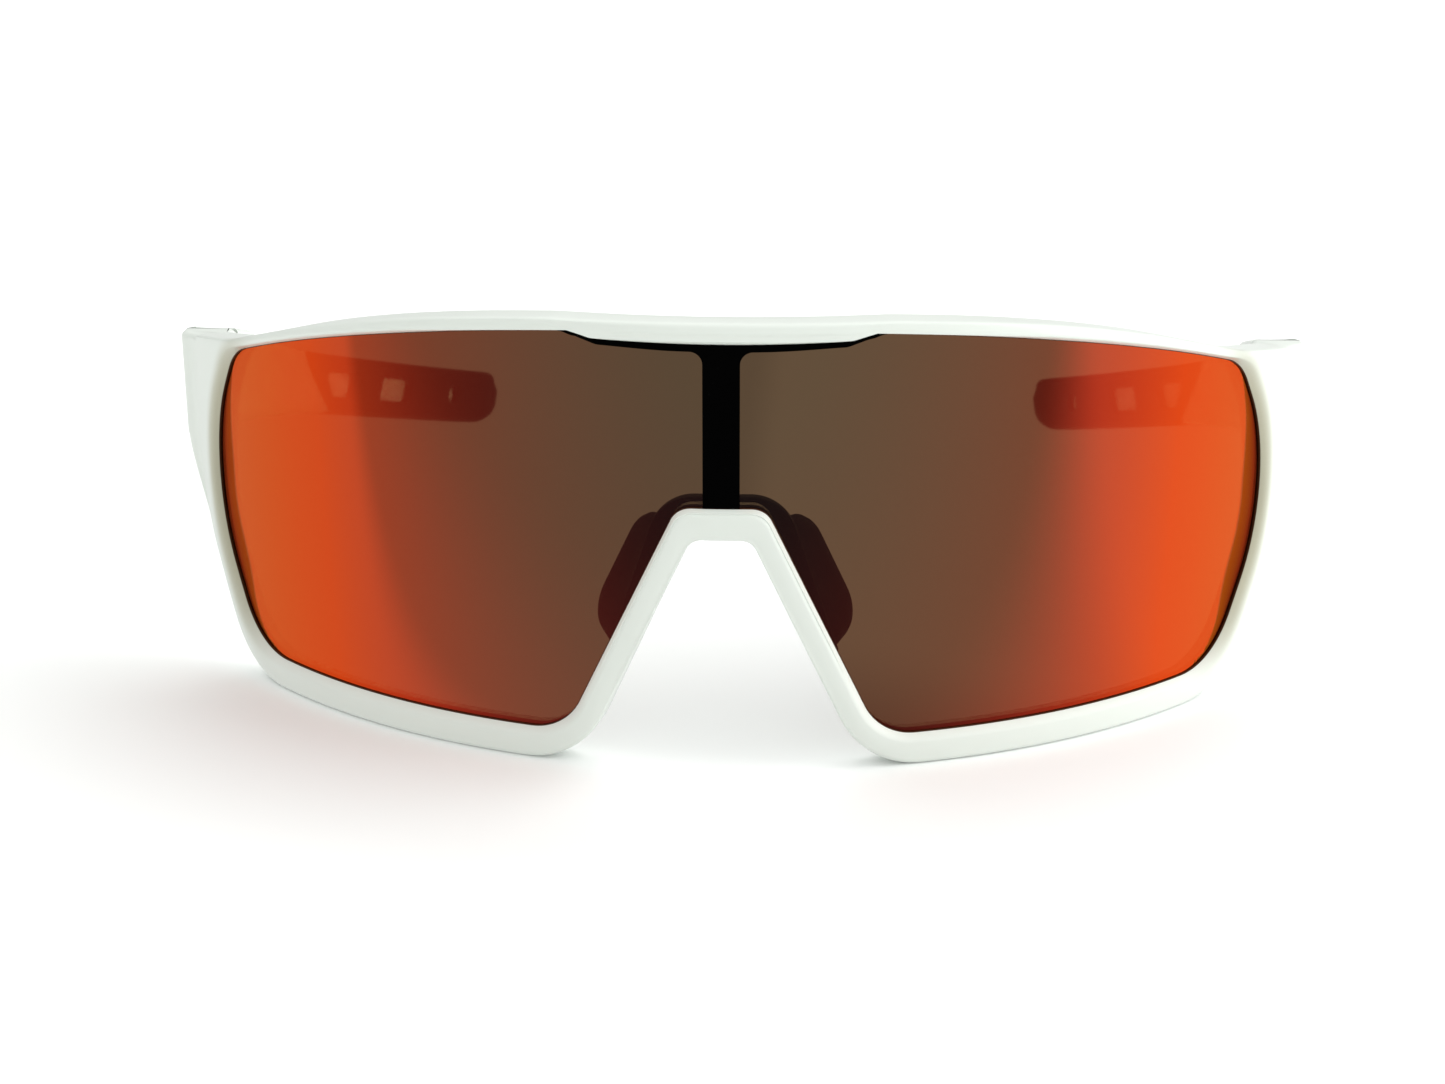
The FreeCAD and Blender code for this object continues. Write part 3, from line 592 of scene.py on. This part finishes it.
def nose_pad():
    """Soft pad: a rounded leaf over length and width, its thickness a flattened dome that falls to a
    small round at its edge."""
    length_unit = math.hypot(LEG_SLOPE, 1)
    down = np.array([LEG_SLOPE / length_unit, 0, -1 / length_unit])
    splay = math.radians(31.0)
    back = np.array([math.sin(splay), math.cos(splay), 0.0])
    back -= down * (back @ down)
    back /= np.linalg.norm(back)
    out = np.cross(down, back)
    arc = 19.1 - LEG_SLOPE * (28.4 - 3.6) - 2.8
    start = on_shield(np.array(arc), 28.4, 77.6)
    leaf = rounded_line([(0.4, 0.7, 1.5), (16.8, 0.7, 1.5), (16.6, 8.7, 4.2), (0.2, 8.7, 4.2)], 16)
    leaf = spaced(leaf, 120)
    centre = np.array([8.5, 4.6])
    rings = []
    profile = [(0.02, 0.28), (0.35, 0.12), (0.65, 0.02), (0.85, 0.05), (0.95, 0.3), (1.0, 0.8), (1.0, 1.5),
               (0.95, 2.0), (0.85, 2.26), (0.65, 2.36), (0.35, 2.3), (0.02, 2.22)]
    for share, height in profile:
        flat = centre + (leaf - centre) * share
        rings.append(start + flat[:, :1] * down + flat[:, 1:] * back + height * out)
    return tube("nose_pad_left", np.stack(rings))


# ---- arms and grips, in (distance behind the pin, height, depth from the outer face) ----
BOW_R = 350.0
ARM_T = 3.8
TIP_BACK = -FRONT_Y - hinge_y
ARM_FRONT = -2.8
GRIP_START_LOW, GRIP_START_HIGH = 47.0, 38.5   # the grip's front end at the arm's lower and upper edge


def bowed(back, z, depth):
    """Places on the arm: y = pin + back, x on an arc of radius 350 less the depth about a point far
    inside."""
    reach = BOW_R - depth
    y = hinge_y + back
    x = END_OUT_X - BOW_R + np.sqrt(reach ** 2 - (y - BUTT_Y) ** 2)
    return np.stack(np.broadcast_arrays(x, y, z), -1)


def edge_lines():
    """Upper and lower edge of the whole arm's side outline as height over distance behind the pin."""
    corners = [(ARM_FRONT, 29.4, 0.01), (9, 27.2, 30), (42, 19.3, 80), (TIP_BACK - 7, 0.0, 12),
               (TIP_BACK, 0.0, 3.2), (TIP_BACK, 7.6, 3.2), (42, 29.0, 80), (9, 40.0, 30),
               (ARM_FRONT, 43.2, 0.01)]
    line = rounded_line(corners, 40)
    line = spaced(line, 4000)
    tip = int(np.argmax(line[:, 0]))
    start = int(np.argmin(np.abs(line[:, 0] - ARM_FRONT) + np.abs(line[:, 1] - 29.4)))
    order = np.roll(line, -start, 0)
    tip = (tip - start) % len(line)
    lower = order[:tip + 1]
    upper = order[tip:]
    upper = upper[upper[:, 1] > 0][::-1]
    upper = upper[np.argsort(upper[:, 0], kind="stable")]
    return lower, upper


LOWER, UPPER = edge_lines()


def low_edge(back):
    """Height of the arm's lower edge at a distance behind the pin."""
    return np.interp(back, LOWER[:, 0], LOWER[:, 1])


def high_edge(back):
    """Height of the arm's upper edge at a distance behind the pin."""
    return np.interp(back, UPPER[:, 0], UPPER[:, 1])


def arm_rings(starts, ends, count, outer, inner, corner, crown=0.0, ease=None):
    """Rings of a bar with a rounded rectangular section that follows the arm. starts and ends give the
    distance behind the pin as functions of the share of height, so an end may slant. outer and inner
    give the depth of the two faces as functions of the distance; corner is the edge's round."""
    loop = []
    for d, h, t0 in ((1, 0, -math.pi / 2), (1, 1, 0.0), (0, 1, math.pi / 2), (0, 0, math.pi)):
        for t in np.linspace(t0, t0 + math.pi / 2, 7):
            loop.append((d, math.cos(t) - (1 if d else -1), h, math.sin(t) - (1 if h else -1)))
        nxt = {(1, 0): (1, 1), (1, 1): (0, 1), (0, 1): (0, 0), (0, 0): (1, 0)}[(d, h)]
        along_d, along_h = nxt[0] - d, nxt[1] - h
        for share in np.linspace(0, 1, 9)[1:-1]:
            if along_h:
                loop.append((d, 0, h + along_h * share, (-(1 if h else -1)) * (1 - 2 * share)))
            else:
                loop.append((d + along_d * share, (-(1 if d else -1)) * (1 - 2 * share), h, 0))
    loop = np.array(loop, float)
    share = np.linspace(0, 1, count) if ease is None else ease(np.linspace(0, 1, count))
    first, last = starts(loop[:, 2]), ends(loop[:, 2])
    back = first[None, :] + (last - first)[None, :] * share[:, None]
    low, high = low_edge(back), high_edge(back)
    shrink = np.minimum(corner, 0.49 * (high - low))
    z = low + (high - low) * loop[:, 2] + shrink * loop[:, 3]
    outside, inside = outer(back), inner(back)
    depth = (outside + (inside - outside) * loop[:, 0]
             + np.minimum(corner, 0.49 * (inside - outside)) * loop[:, 1])
    depth = depth + crown * (2 * loop[:, 2] - 1) ** 2 * (1 - loop[:, 0])
    return bowed(back, z, depth)


def slant(height):
    """Distance behind the pin of the grip's slanting front end, over the share of height."""
    return GRIP_START_LOW + (GRIP_START_HIGH - GRIP_START_LOW) * height


def arm():
    """White arm: a bar that is thick at the hinge and eases to its own thickness, cut round the ears,
    with the bored knuckle between them."""

    def inner(back):
        x_outer = END_OUT_X - BOW_R + np.sqrt(BOW_R ** 2 - (hinge_y + back - BUTT_Y) ** 2)
        thick = x_outer - (hinge_x - KNUCKLE_R)
        return np.where(back < 9, thick, thick + (ARM_T - thick) * smooth_step(back, 9, 21))

    body = tube("temple_left", arm_rings(lambda h: ARM_FRONT + 0 * h, lambda h: slant(h) + 1.5, 120,
                                         lambda b: 0 * b + 0.02, inner, 0.9, 0.12))
    reach = KNUCKLE_R + 0.15
    swept = bar("swept", hinge_x, hinge_y, 20.0, 50.0, reach, 96)
    ahead = slab("ahead", np.array([(hinge_x - 12, hinge_y - 8), (hinge_x + reach, hinge_y - 8),
                                    (hinge_x + reach, hinge_y + 0.001), (hinge_x - 12, hinge_y + 0.001)]),
                 [(20.0, 0), (50.0, 0)])
    combined(body, [swept, ahead], "DIFFERENCE")
    turn = np.linspace(math.pi, 2 * math.pi, 40)
    plan = np.vstack([np.stack([hinge_x + KNUCKLE_R * np.cos(turn), hinge_y + KNUCKLE_R * np.sin(turn)], 1),
                      [(hinge_x + KNUCKLE_R, hinge_y + 4.0), (hinge_x - KNUCKLE_R, hinge_y + 4.0)]])
    knuckle = slab("knuckle", plan, rounded_levels(34.3, 38.9, 0.15, 3))
    combined(body, [knuckle], "UNION")
    combined(body, [bar("bore", hinge_x, hinge_y, CUT_LOW, CUT_HIGH, BUSH_SEAT_R)], "DIFFERENCE")
    return soften(body, 35)


def window_outlines():
    """Corners (distance, height, radius) and flare of the grip's two slanting windows and its round
    hole."""
    def middle(back):
        return float(low_edge(back) + high_edge(back)) / 2
    made = []
    for front, length, lean_front, lean_rear in ((46.0, 12.0, 2.6, -2.6), (70.0, 10.5, -2.2, -2.2)):
        rear = front + length
        made.append(([(rear, middle(rear) + 2, 0.8), (front, middle(front) + 2, 0.8),
                      (front + lean_front, middle(front + lean_front) - 2, 0.8),
                      (rear + lean_rear, middle(rear + lean_rear) - 2, 0.8)], 0.45))
    turn = np.linspace(0, 2 * math.pi, 8, endpoint=False)
    hole_z = middle(97.0)
    made.append(([(97 + 1.62 * math.cos(t), hole_z + 1.62 * math.sin(t), 1.3) for t in turn], 0.35))
    return made


def tongue():
    """The arm's white core where it fills the grip's windows: each outline grown by 0.3, between two
    depths."""
    plates = []
    for corners, _ in window_outlines():
        line = rounded_line(corners, 10)
        line = spaced(line, 64)
        line = line + outward(line) * 0.3
        rings = [bowed(line[:, 0], line[:, 1], depth) for depth in np.linspace(0.3, ARM_T - 0.3, 3)]
        plates.append(tube("tongue_left", np.stack(rings)))
    return soften(combined(plates[0], plates[1:], "UNION"), 40)


def prism(name, corners, flare=0.45):
    """Cutter through the grip: a rounded outline in (distance, height) carried through its depth,
    wider at both faces by a quarter-round flare."""
    line = rounded_line(corners, 10)
    line = spaced(line, 96)
    normal = outward(line)
    low, high = -0.6, ARM_T + 0.6
    turn = np.linspace(0, math.pi / 2, 6)
    levels = [(low - 1.0, flare)] + [(low + flare * math.sin(t), flare * (1 - math.sin(t))) for t in turn]
    levels += [(high - (d - low), grow) for d, grow in reversed(levels)]
    rings = [bowed(line[:, 0] + normal[:, 0] * grow, line[:, 1] + normal[:, 1] * grow, d)
             for d, grow in levels]
    return tube(name, np.stack(rings))


def grip():
    """Rubber ear grip: a thicker bar round the arm's end, its tip rounded, with two slanting windows
    and a round hole."""
    def tip(height):
        bend = np.clip(2 * np.abs(height - 0.42), 0, 1)
        return TIP_BACK - 0.12 - 1.2 * bend ** 2 + 0 * height

    def swell(back):
        return -0.58 * smooth_step(back, 38.0, 40.5) * (1 - 0.75 * smooth_step(back, TIP_BACK - 6, TIP_BACK))

    body = tube("ear_grip_left", arm_rings(slant, tip, 200, swell, lambda back: ARM_T - swell(back), 1.15,
                                           0.1, lambda s: 1 - (1 - s) ** 1.25))
    cuts = [prism("window", corners, flare) for corners, flare in window_outlines()]
    combined(body, cuts, "DIFFERENCE")
    return soften(body, 40)


# ---- finishes ----
def node(tree, kind, **values):
    """New node with some of its inputs or settings filled in; an underscore stands for a space."""
    made = tree.nodes.new(kind)
    for name, value in values.items():
        key = name.replace("_", " ")
        if key in made.inputs:
            made.inputs[key].default_value = value
        else:
            setattr(made, name, value)
    return made


def worked(tree, operation, *terms, **settings):
    """Output of a Math node; each term is a number or another node's output."""
    made = node(tree, "ShaderNodeMath", operation=operation, **settings)
    for socket, term in zip(made.inputs, terms):
        if isinstance(term, bpy.types.NodeSocket):
            tree.links.new(term, socket)
        else:
            socket.default_value = term
    return made.outputs[0]


def ranged(tree, value, low, high, first, last, **settings):
    """Output of a Map Range node that takes low to first and high to last."""
    made = node(tree, "ShaderNodeMapRange", **settings)
    for label, number in zip(("From Min", "From Max", "To Min", "To Max"), (low, high, first, last)):
        made.inputs[label].default_value = number
    tree.links.new(value, made.inputs["Value"])
    return made.outputs["Result"]


def colour_ramp(tree, value, stops):
    """Output of a colour ramp with stops of (position, colour)."""
    made = node(tree, "ShaderNodeValToRGB")
    elements = made.color_ramp.elements
    elements[0].position, elements[0].color = stops[0]
    elements[1].position, elements[1].color = stops[-1]
    for position, colour in stops[1:-1]:
        elements.new(position).color = colour
    tree.links.new(value, made.inputs["Fac"])
    return made.outputs["Color"]


def new_material(name):
    """Material with its node tree and its Principled shader."""
    material = bpy.data.materials.new(name)
    material.use_nodes = True
    return material, material.node_tree, material.node_tree.nodes["Principled BSDF"]


def new_group(name, inputs, outputs):
    """Empty shader group with float or colour sockets; a socket's default is its value."""
    group = bpy.data.node_groups.new(name, "ShaderNodeTree")
    for label, kind, value in inputs:
        socket = group.interface.new_socket(name=label, in_out="INPUT", socket_type="NodeSocket" + kind)
        socket.default_value = value
    for label, kind in outputs:
        group.interface.new_socket(name=label, in_out="OUTPUT", socket_type="NodeSocket" + kind)
    return group


def moulding_group():
    """Fine orange-peel, handling haze and soft dust of a moulded surface, from Object coordinates."""
    group = new_group("moulded_surface", [("Colour", "Color", (1, 1, 1, 1)), ("Shift", "Float", 0.03),
                                          ("Roughness", "Float", 0.3), ("Haze", "Float", 0.08),
                                          ("Grain Scale", "Float", 900.0), ("Grain", "Float", 0.3)],
                      [("Colour", "Color"), ("Roughness", "Float"), ("Height", "Float")])
    given, result = node(group, "NodeGroupInput"), node(group, "NodeGroupOutput")
    place = node(group, "ShaderNodeTexCoord")
    cloud = node(group, "ShaderNodeTexNoise", Scale=38.0, Detail=4.0, Roughness=0.6)
    fine = node(group, "ShaderNodeTexNoise", Detail=3.0, Roughness=0.55)
    group.links.new(place.outputs["Object"], cloud.inputs["Vector"])
    group.links.new(place.outputs["Object"], fine.inputs["Vector"])
    group.links.new(given.outputs["Grain Scale"], fine.inputs["Scale"])
    spread = worked(group, "MULTIPLY_ADD", cloud.outputs["Fac"], 2.0, -1.0)
    tint = worked(group, "MULTIPLY", spread, given.outputs["Shift"])
    colour = node(group, "ShaderNodeVectorMath", operation="SCALE")
    group.links.new(given.outputs["Colour"], colour.inputs[0])
    group.links.new(worked(group, "ADD", tint, 1.0), colour.inputs["Scale"])
    haze = worked(group, "MULTIPLY", spread, given.outputs["Haze"])
    rough = worked(group, "ADD", haze, given.outputs["Roughness"], use_clamp=True)
    height = worked(group, "MULTIPLY", fine.outputs["Fac"], given.outputs["Grain"])
    for label, output in (("Colour", colour.outputs[0]), ("Roughness", rough), ("Height", height)):
        group.links.new(output, result.inputs[label])
    return group


MOULDED = moulding_group()


def finish(name, colour, roughness, shift=0.03, haze=0.06, grain_scale=900.0, grain=0.3, bump=0.00002,
           **sockets):
    """Moulded or metal finish: a Principled shader fed by the shared surface group."""
    material, tree, shader = new_material(name)
    for label, value in sockets.items():
        shader.inputs[label.replace("_", " ")].default_value = value
    surface = node(tree, "ShaderNodeGroup", node_tree=MOULDED)
    surface.name = "surface"
    for label, value in (("Colour", (*colour, 1)), ("Shift", shift), ("Roughness", roughness),
                         ("Haze", haze), ("Grain Scale", grain_scale), ("Grain", grain)):
        surface.inputs[label].default_value = value
    relief = node(tree, "ShaderNodeBump", Strength=1.0, Distance=bump)
    tree.links.new(surface.outputs["Colour"], shader.inputs["Base Color"])
    tree.links.new(surface.outputs["Roughness"], shader.inputs["Roughness"])
    tree.links.new(surface.outputs["Height"], relief.inputs["Height"])
    tree.links.new(relief.outputs["Normal"], shader.inputs["Normal"])
    return material


WHITE = (0.72, 0.765, 0.715)
WHITE_PAINTED_SHADE = (0.43, 0.42, 0.31)   # white under painted shade, tinted brown as if lit through the shield


def white_finish(name, roughness):
    """White moulding with a thin soft gloss."""
    return finish(name, WHITE, roughness, shift=0.012, haze=0.05, grain_scale=1400.0, bump=0.000012,
                  Coat_Weight=0.25, Coat_Roughness=0.25)


def rim_white_painted_shade_finish():
    """The white moulding with painted shade: browner where the rim's stored shade share is high."""
    material = white_finish("white_moulding_painted_shade", 0.34)
    tree = material.node_tree
    # painted shade: the stored share turns the white towards a shaded brown
    shade = node(tree, "ShaderNodeAttribute", attribute_name="painted_bevel_shade")
    shaded = node(tree, "ShaderNodeMix", data_type="RGBA")
    shaded.inputs["A"].default_value = (*WHITE, 1)
    shaded.inputs["B"].default_value = (*WHITE_PAINTED_SHADE, 1)
    tree.links.new(shade.outputs["Fac"], shaded.inputs["Factor"])
    tree.links.new(shaded.outputs["Result"], tree.nodes["surface"].inputs["Colour"])
    return material


TINT = (0.122, 0.075, 0.040, 1)
SHADE_BAND_END, SHADE_BAND_WEIGHT = 0.86, 0.94     # where the painted shade band gives way to the mirror, and its strength


def sheet_finish(name):
    """Brown see-through polycarbonate, with faint haze in its gloss."""
    material, tree, sheet = new_material(name)
    sheet.inputs["Base Color"].default_value = TINT
    sheet.inputs["IOR"].default_value = 1.3
    sheet.inputs["Transmission Weight"].default_value = 1.0
    place = node(tree, "ShaderNodeTexCoord")
    haze = node(tree, "ShaderNodeTexNoise", Scale=220.0, Detail=5.0, Roughness=0.7)
    tree.links.new(place.outputs["Object"], haze.inputs["Vector"])
    tree.links.new(ranged(tree, haze.outputs["Fac"], 0.0, 1.0, 0.02, 0.06), sheet.inputs["Roughness"])
    return material


def coated_finish(name):
    """The sheet under a red-orange mirror coat, which strengthens with the slant of sight as
    2.1 (1 - cosine) - 0.08, up to 0.75, and turns from red towards amber.  It shows from outside only.
    Along the two side edges, where the stored share is below 1, a brown ramp, darkest against the rim, takes
    the mirror's place at 0.94: painted shade."""
    material = sheet_finish(name)
    tree, links = material.node_tree, material.node_tree.links
    sheet = tree.nodes["Principled BSDF"]
    sheet.inputs["Specular IOR Level"].default_value = 0.0
    coat = node(tree, "ShaderNodeBsdfPrincipled", Metallic=1.0, Roughness=0.05)
    coat.inputs["Specular Tint"].default_value = (1.0, 0.45, 0.0, 1)
    slant_of_sight = node(tree, "ShaderNodeLayerWeight", Blend=0.5).outputs["Facing"]
    border = node(tree, "ShaderNodeAttribute", attribute_name="shade_band_share").outputs["Fac"]
    hue = colour_ramp(tree, slant_of_sight, ((0.05, (0.9, 0.02, 0.001, 1)), (0.25, (1.0, 0.05, 0.001, 1)),
                                             (0.45, (1.0, 0.088, 0.001, 1)), (0.66, (0.92, 0.15, 0.002, 1))))
    depth = colour_ramp(tree, slant_of_sight, ((0.05, TINT), (0.3, (0.15, 0.10, 0.042, 1)),
                                               (0.5, (0.24, 0.18, 0.032, 1)), (0.66, (0.28, 0.25, 0.03, 1))))
    # painted shade: brown, darkest at the opening's edge, where the mirror would be
    painted_band_colour = colour_ramp(tree, border, ((0.0, (0.12, 0.02, 0.001, 1)), (0.2, (0.14, 0.022, 0.001, 1)),
                                      (0.5, (0.25, 0.055, 0.012, 1)), (0.9, (0.36, 0.08, 0.025, 1))))
    over = node(tree, "ShaderNodeMix", data_type="RGBA")
    links.new(ranged(tree, border, SHADE_BAND_END, 1.0, 0.0, 1.0), over.inputs["Factor"])
    links.new(painted_band_colour, over.inputs["A"])
    links.new(hue, over.inputs["B"])
    strength = worked(tree, "MULTIPLY_ADD", slant_of_sight, 2.1, -0.08, use_clamp=True)
    stronger = worked(tree, "MAXIMUM", worked(tree, "MINIMUM", strength, 0.75),
                      ranged(tree, border, SHADE_BAND_END, 1.0, SHADE_BAND_WEIGHT, 0.0))
    outside = worked(tree, "SUBTRACT", 1.0, node(tree, "ShaderNodeNewGeometry").outputs["Backfacing"])
    mix = node(tree, "ShaderNodeMixShader")
    links.new(over.outputs["Result"], coat.inputs["Base Color"])
    links.new(depth, sheet.inputs["Base Color"])
    links.new(worked(tree, "MULTIPLY", stronger, outside), mix.inputs["Fac"])
    links.new(sheet.outputs["BSDF"], mix.inputs[1])
    links.new(coat.outputs["BSDF"], mix.inputs[2])
    links.new(mix.outputs["Shader"], tree.nodes["Material Output"].inputs["Surface"])
    return material


white = rim_white_painted_shade_finish()
arm_white = white_finish("white_arm_moulding", 0.36)
black = finish("black_strut_finish", (0.001, 0.001, 0.001), 0.5, shift=0.2, haze=0.08,
               grain_scale=2200.0, bump=0.00001, Specular_IOR_Level=0.0)
dark_edge_brown = finish("dark_edge_band_finish", (0.045, 0.012, 0.002), 0.4, shift=0.25, haze=0.08,
                     grain_scale=2200.0, bump=0.00001, Specular_IOR_Level=0.25)
carrier = finish("nose_carrier_finish", (0.012, 0.011, 0.011), 0.5, shift=0.2, grain_scale=2200.0,
                 bump=0.00001)
soft = finish("soft_rubber_finish", (0.007, 0.006, 0.006), 0.68, shift=0.25, haze=0.1,
              grain_scale=2600.0, grain=0.6, bump=0.00005)
grip_rubber = finish("grip_rubber_finish", (0.008, 0.007, 0.007), 0.62, shift=0.25, haze=0.1,
                     grain_scale=2200.0, grain=0.6, bump=0.00005)
METAL = {"haze": 0.12, "grain_scale": 3000.0, "bump": 0.000008, "Metallic": 1.0}
steel = finish("steel_finish", (0.55, 0.56, 0.58), 0.28, shift=0.08, **METAL)
spring = finish("spring_steel_finish", (0.42, 0.43, 0.45), 0.35, shift=0.1, **METAL)
brass = finish("brass_finish", (0.72, 0.5, 0.2), 0.32, shift=0.1, **METAL)


def dressed(piece, material, body, slot, *nodes):
    """Gives a piece its finish and its body, and hides the CAD nodes that it stands for; the slot is not
    used.
    """
    if material is not None:
        piece.data.materials.clear()
        piece.data.materials.append(material)
    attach(piece, body)
    if nodes:
        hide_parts(*nodes)
    return piece


# ---- the object ----
dressed(white_front(), white, "front", "white_frame", "front_frame")
dressed(shield(), None, "front", "mirror_shield", "shield_lens")
dressed(soften(tee(), 35), black, "front", "black_strut", "lens_strut")
dressed(soften(dark_edge_band(), 35), dark_edge_brown, "front", "black_strut")
dressed(soften(nose_arch(), 40), carrier, "front", "nose_carrier", "nose_bracket")
pad_left = nose_pad()
pad_right = mirrored(pad_left, "nose_pad_soft_right")
pad_left.name = "nose_pad_soft_left"
arm_left = arm()
arm_left.name = "arm_left"
grip_left = grip()
grip_left.name = "grip_left"
arm_right, grip_right = mirrored(arm_left, "arm_right"), mirrored(grip_left, "grip_right")
tongue_left = tongue()
tongue_left.name = "tongue_left"
tongue_right = mirrored(tongue_left, "tongue_right")
for side, pad, whole_arm, sleeve, core in (("left", pad_left, arm_left, grip_left, tongue_left),
                                           ("right", pad_right, arm_right, grip_right, tongue_right)):
    dressed(pad, soft, "front", "soft_rubber", "nose_pad_" + side)
    dressed(whole_arm, arm_white, side + "_temple", "white_arm", "temple_" + side)
    dressed(sleeve, grip_rubber, side + "_temple", "grip_rubber", "ear_grip_" + side)
    dressed(core, arm_white, side + "_temple", "white_arm")

for name, material in (("temple_core", spring), ("hinge_screw", steel), ("hinge_insert", brass),
                       ("hinge_bush", steel), ("hinge_washers", steel)):
    for side in ("left", "right"):
        carried = frame["nodes"][name + "_" + side]
        carried.data.materials.clear()
        carried.data.materials.append(material)


# ---- floor ----
def floor_finish():
    """White paper that glows instead to reflections: a painted reflection, bright at both sides and dimmer in
    front as if the room there were dark. Its brightness rises over a line that runs sideways and forwards
    from each end of the shield."""
    material, tree, paper = new_material("floor_paper_painted_reflection")
    links = tree.links
    paper.inputs["Base Color"].default_value = (0.94, 0.955, 0.95, 1)
    paper.inputs["Roughness"].default_value = 0.8
    paper.inputs["Specular IOR Level"].default_value = 0.1
    place = node(tree, "ShaderNodeTexCoord")
    split = node(tree, "ShaderNodeSeparateXYZ")
    links.new(place.outputs["Object"], split.inputs[0])
    across, away = split.outputs["X"], split.outputs["Y"]

    def zone(value, low, high, last):
        """Smooth rise from 0 at low to last at high."""
        return ranged(tree, value, low, high, 0.0, last, interpolation_type="SMOOTHSTEP")

    left_line = worked(tree, "MULTIPLY_ADD", across, -0.12, away)
    right_line = worked(tree, "MULTIPLY_ADD", across, 0.43, away)
    left = worked(tree, "ADD", zone(left_line, -0.0825, -0.0675, 0.29), zone(left_line, -0.16, -0.07, 0.18))
    pick = node(tree, "ShaderNodeMix", data_type="FLOAT")
    links.new(zone(across, -0.004, 0.004, 1.0), pick.inputs["Factor"])
    links.new(left, pick.inputs["A"])
    links.new(zone(right_line, -0.085, -0.025, 0.66), pick.inputs["B"])
    # painted reflection: glossy rays see the floor glow in this pattern instead of the paper
    reflection_glow = node(tree, "ShaderNodeEmission")
    links.new(worked(tree, "ADD", pick.outputs["Result"], 0.33), reflection_glow.inputs["Strength"])
    path = node(tree, "ShaderNodeLightPath")
    choose = node(tree, "ShaderNodeMixShader")
    links.new(path.outputs["Is Glossy Ray"], choose.inputs["Fac"])
    links.new(paper.outputs["BSDF"], choose.inputs[1])
    links.new(reflection_glow.outputs["Emission"], choose.inputs[2])
    links.new(choose.outputs["Shader"], tree.nodes["Material Output"].inputs["Surface"])
    return material


FLOOR_HALF = 40000.0
floor = make_mesh("floor", np.array([(-1, -1, 0), (1, -1, 0), (1, 1, 0), (-1, 1, 0)]) * FLOOR_HALF,
                  [(0, 1, 2, 3)])
floor.data.materials.append(floor_finish())


# ---- lights and camera ----
def softbox(name, place, aim, size, power, colour=(1, 1, 1)):
    """Soft rectangular light at a place, turned to an aim."""
    data = bpy.data.lights.new(name, "AREA")
    data.shape = "RECTANGLE"
    data.size, data.size_y = size
    data.energy = power
    data.color = colour
    light = bpy.data.objects.new(name, data)
    light.location = place
    light.rotation_euler = (Vector(aim) - Vector(place)).to_track_quat("-Z", "Y").to_euler()
    light.visible_glossy = False
    bpy.context.scene.collection.objects.link(light)
    return light


softbox("back_light", (0.12, 0.6, 0.75), (0, -0.05, 0), (1.0, 0.7), 2.6)
softbox("right_box", (0.75, -0.05, 0.4), (0.03, -0.06, 0.03), (0.5, 0.5), 3.0)


def studio():
    """White surroundings.  Gloss sees them grey and brighter overhead; matt surfaces are lit by
    0.9 |x| + 0.82 plus the direction's part along (0.3, 0.15, -0.2)."""
    world = bpy.data.worlds.new("studio")
    bpy.context.scene.world = world
    world.use_nodes = True
    tree = world.node_tree
    links = tree.links
    around = tree.nodes["Background"]
    around.inputs["Color"].default_value = (0.985, 1.0, 0.997, 1)
    around.inputs["Strength"].default_value = 1.0
    direction = node(tree, "ShaderNodeTexCoord").outputs["Generated"]
    split = node(tree, "ShaderNodeSeparateXYZ")
    lean = node(tree, "ShaderNodeVectorMath", operation="DOT_PRODUCT")
    lean.inputs[1].default_value = (0.3, 0.15, -0.2)
    links.new(direction, split.inputs[0])
    links.new(direction, lean.inputs[0])
    gloss = node(tree, "ShaderNodeBackground")
    links.new(ranged(tree, split.outputs["Z"], 0.0, 0.9, 0.25, 1.2), gloss.inputs["Strength"])
    lit = node(tree, "ShaderNodeBackground")
    lit.inputs["Color"].default_value = (1.0, 1.0, 0.985, 1)
    sides = worked(tree, "MULTIPLY_ADD", worked(tree, "ABSOLUTE", split.outputs["X"]), 0.9, 0.82)
    links.new(worked(tree, "ADD", sides, lean.outputs["Value"]), lit.inputs["Strength"])
    path = node(tree, "ShaderNodeLightPath")
    choose, choose_lit = node(tree, "ShaderNodeMixShader"), node(tree, "ShaderNodeMixShader")
    links.new(path.outputs["Is Diffuse Ray"], choose_lit.inputs["Fac"])
    links.new(around.outputs["Background"], choose_lit.inputs[1])
    links.new(lit.outputs["Background"], choose_lit.inputs[2])
    links.new(path.outputs["Is Glossy Ray"], choose.inputs["Fac"])
    links.new(choose_lit.outputs["Shader"], choose.inputs[1])
    links.new(gloss.outputs["Background"], choose.inputs[2])
    links.new(choose.outputs["Shader"], tree.nodes["World Output"].inputs["Surface"])


studio()
bpy.context.scene.view_settings.view_transform = "Standard"

camera_data = bpy.data.cameras.new("camera")
camera_data.lens = 59.42
camera_data.sensor_width = 36.0
camera_data.clip_start = 0.01
camera = bpy.data.objects.new("camera", camera_data)
bpy.context.scene.collection.objects.link(camera)
azimuth, elevation, distance = math.radians(2.75), math.radians(18.21), 0.300
target = Vector((-0.00081, -0.0609, 0.02222))
eye = target + distance * Vector((math.sin(azimuth) * math.cos(elevation),
                                  -math.cos(azimuth) * math.cos(elevation), math.sin(elevation)))
camera.location = eye
camera.rotation_euler = (target - eye).to_track_quat("-Z", "Y").to_euler()
bpy.context.scene.camera = camera
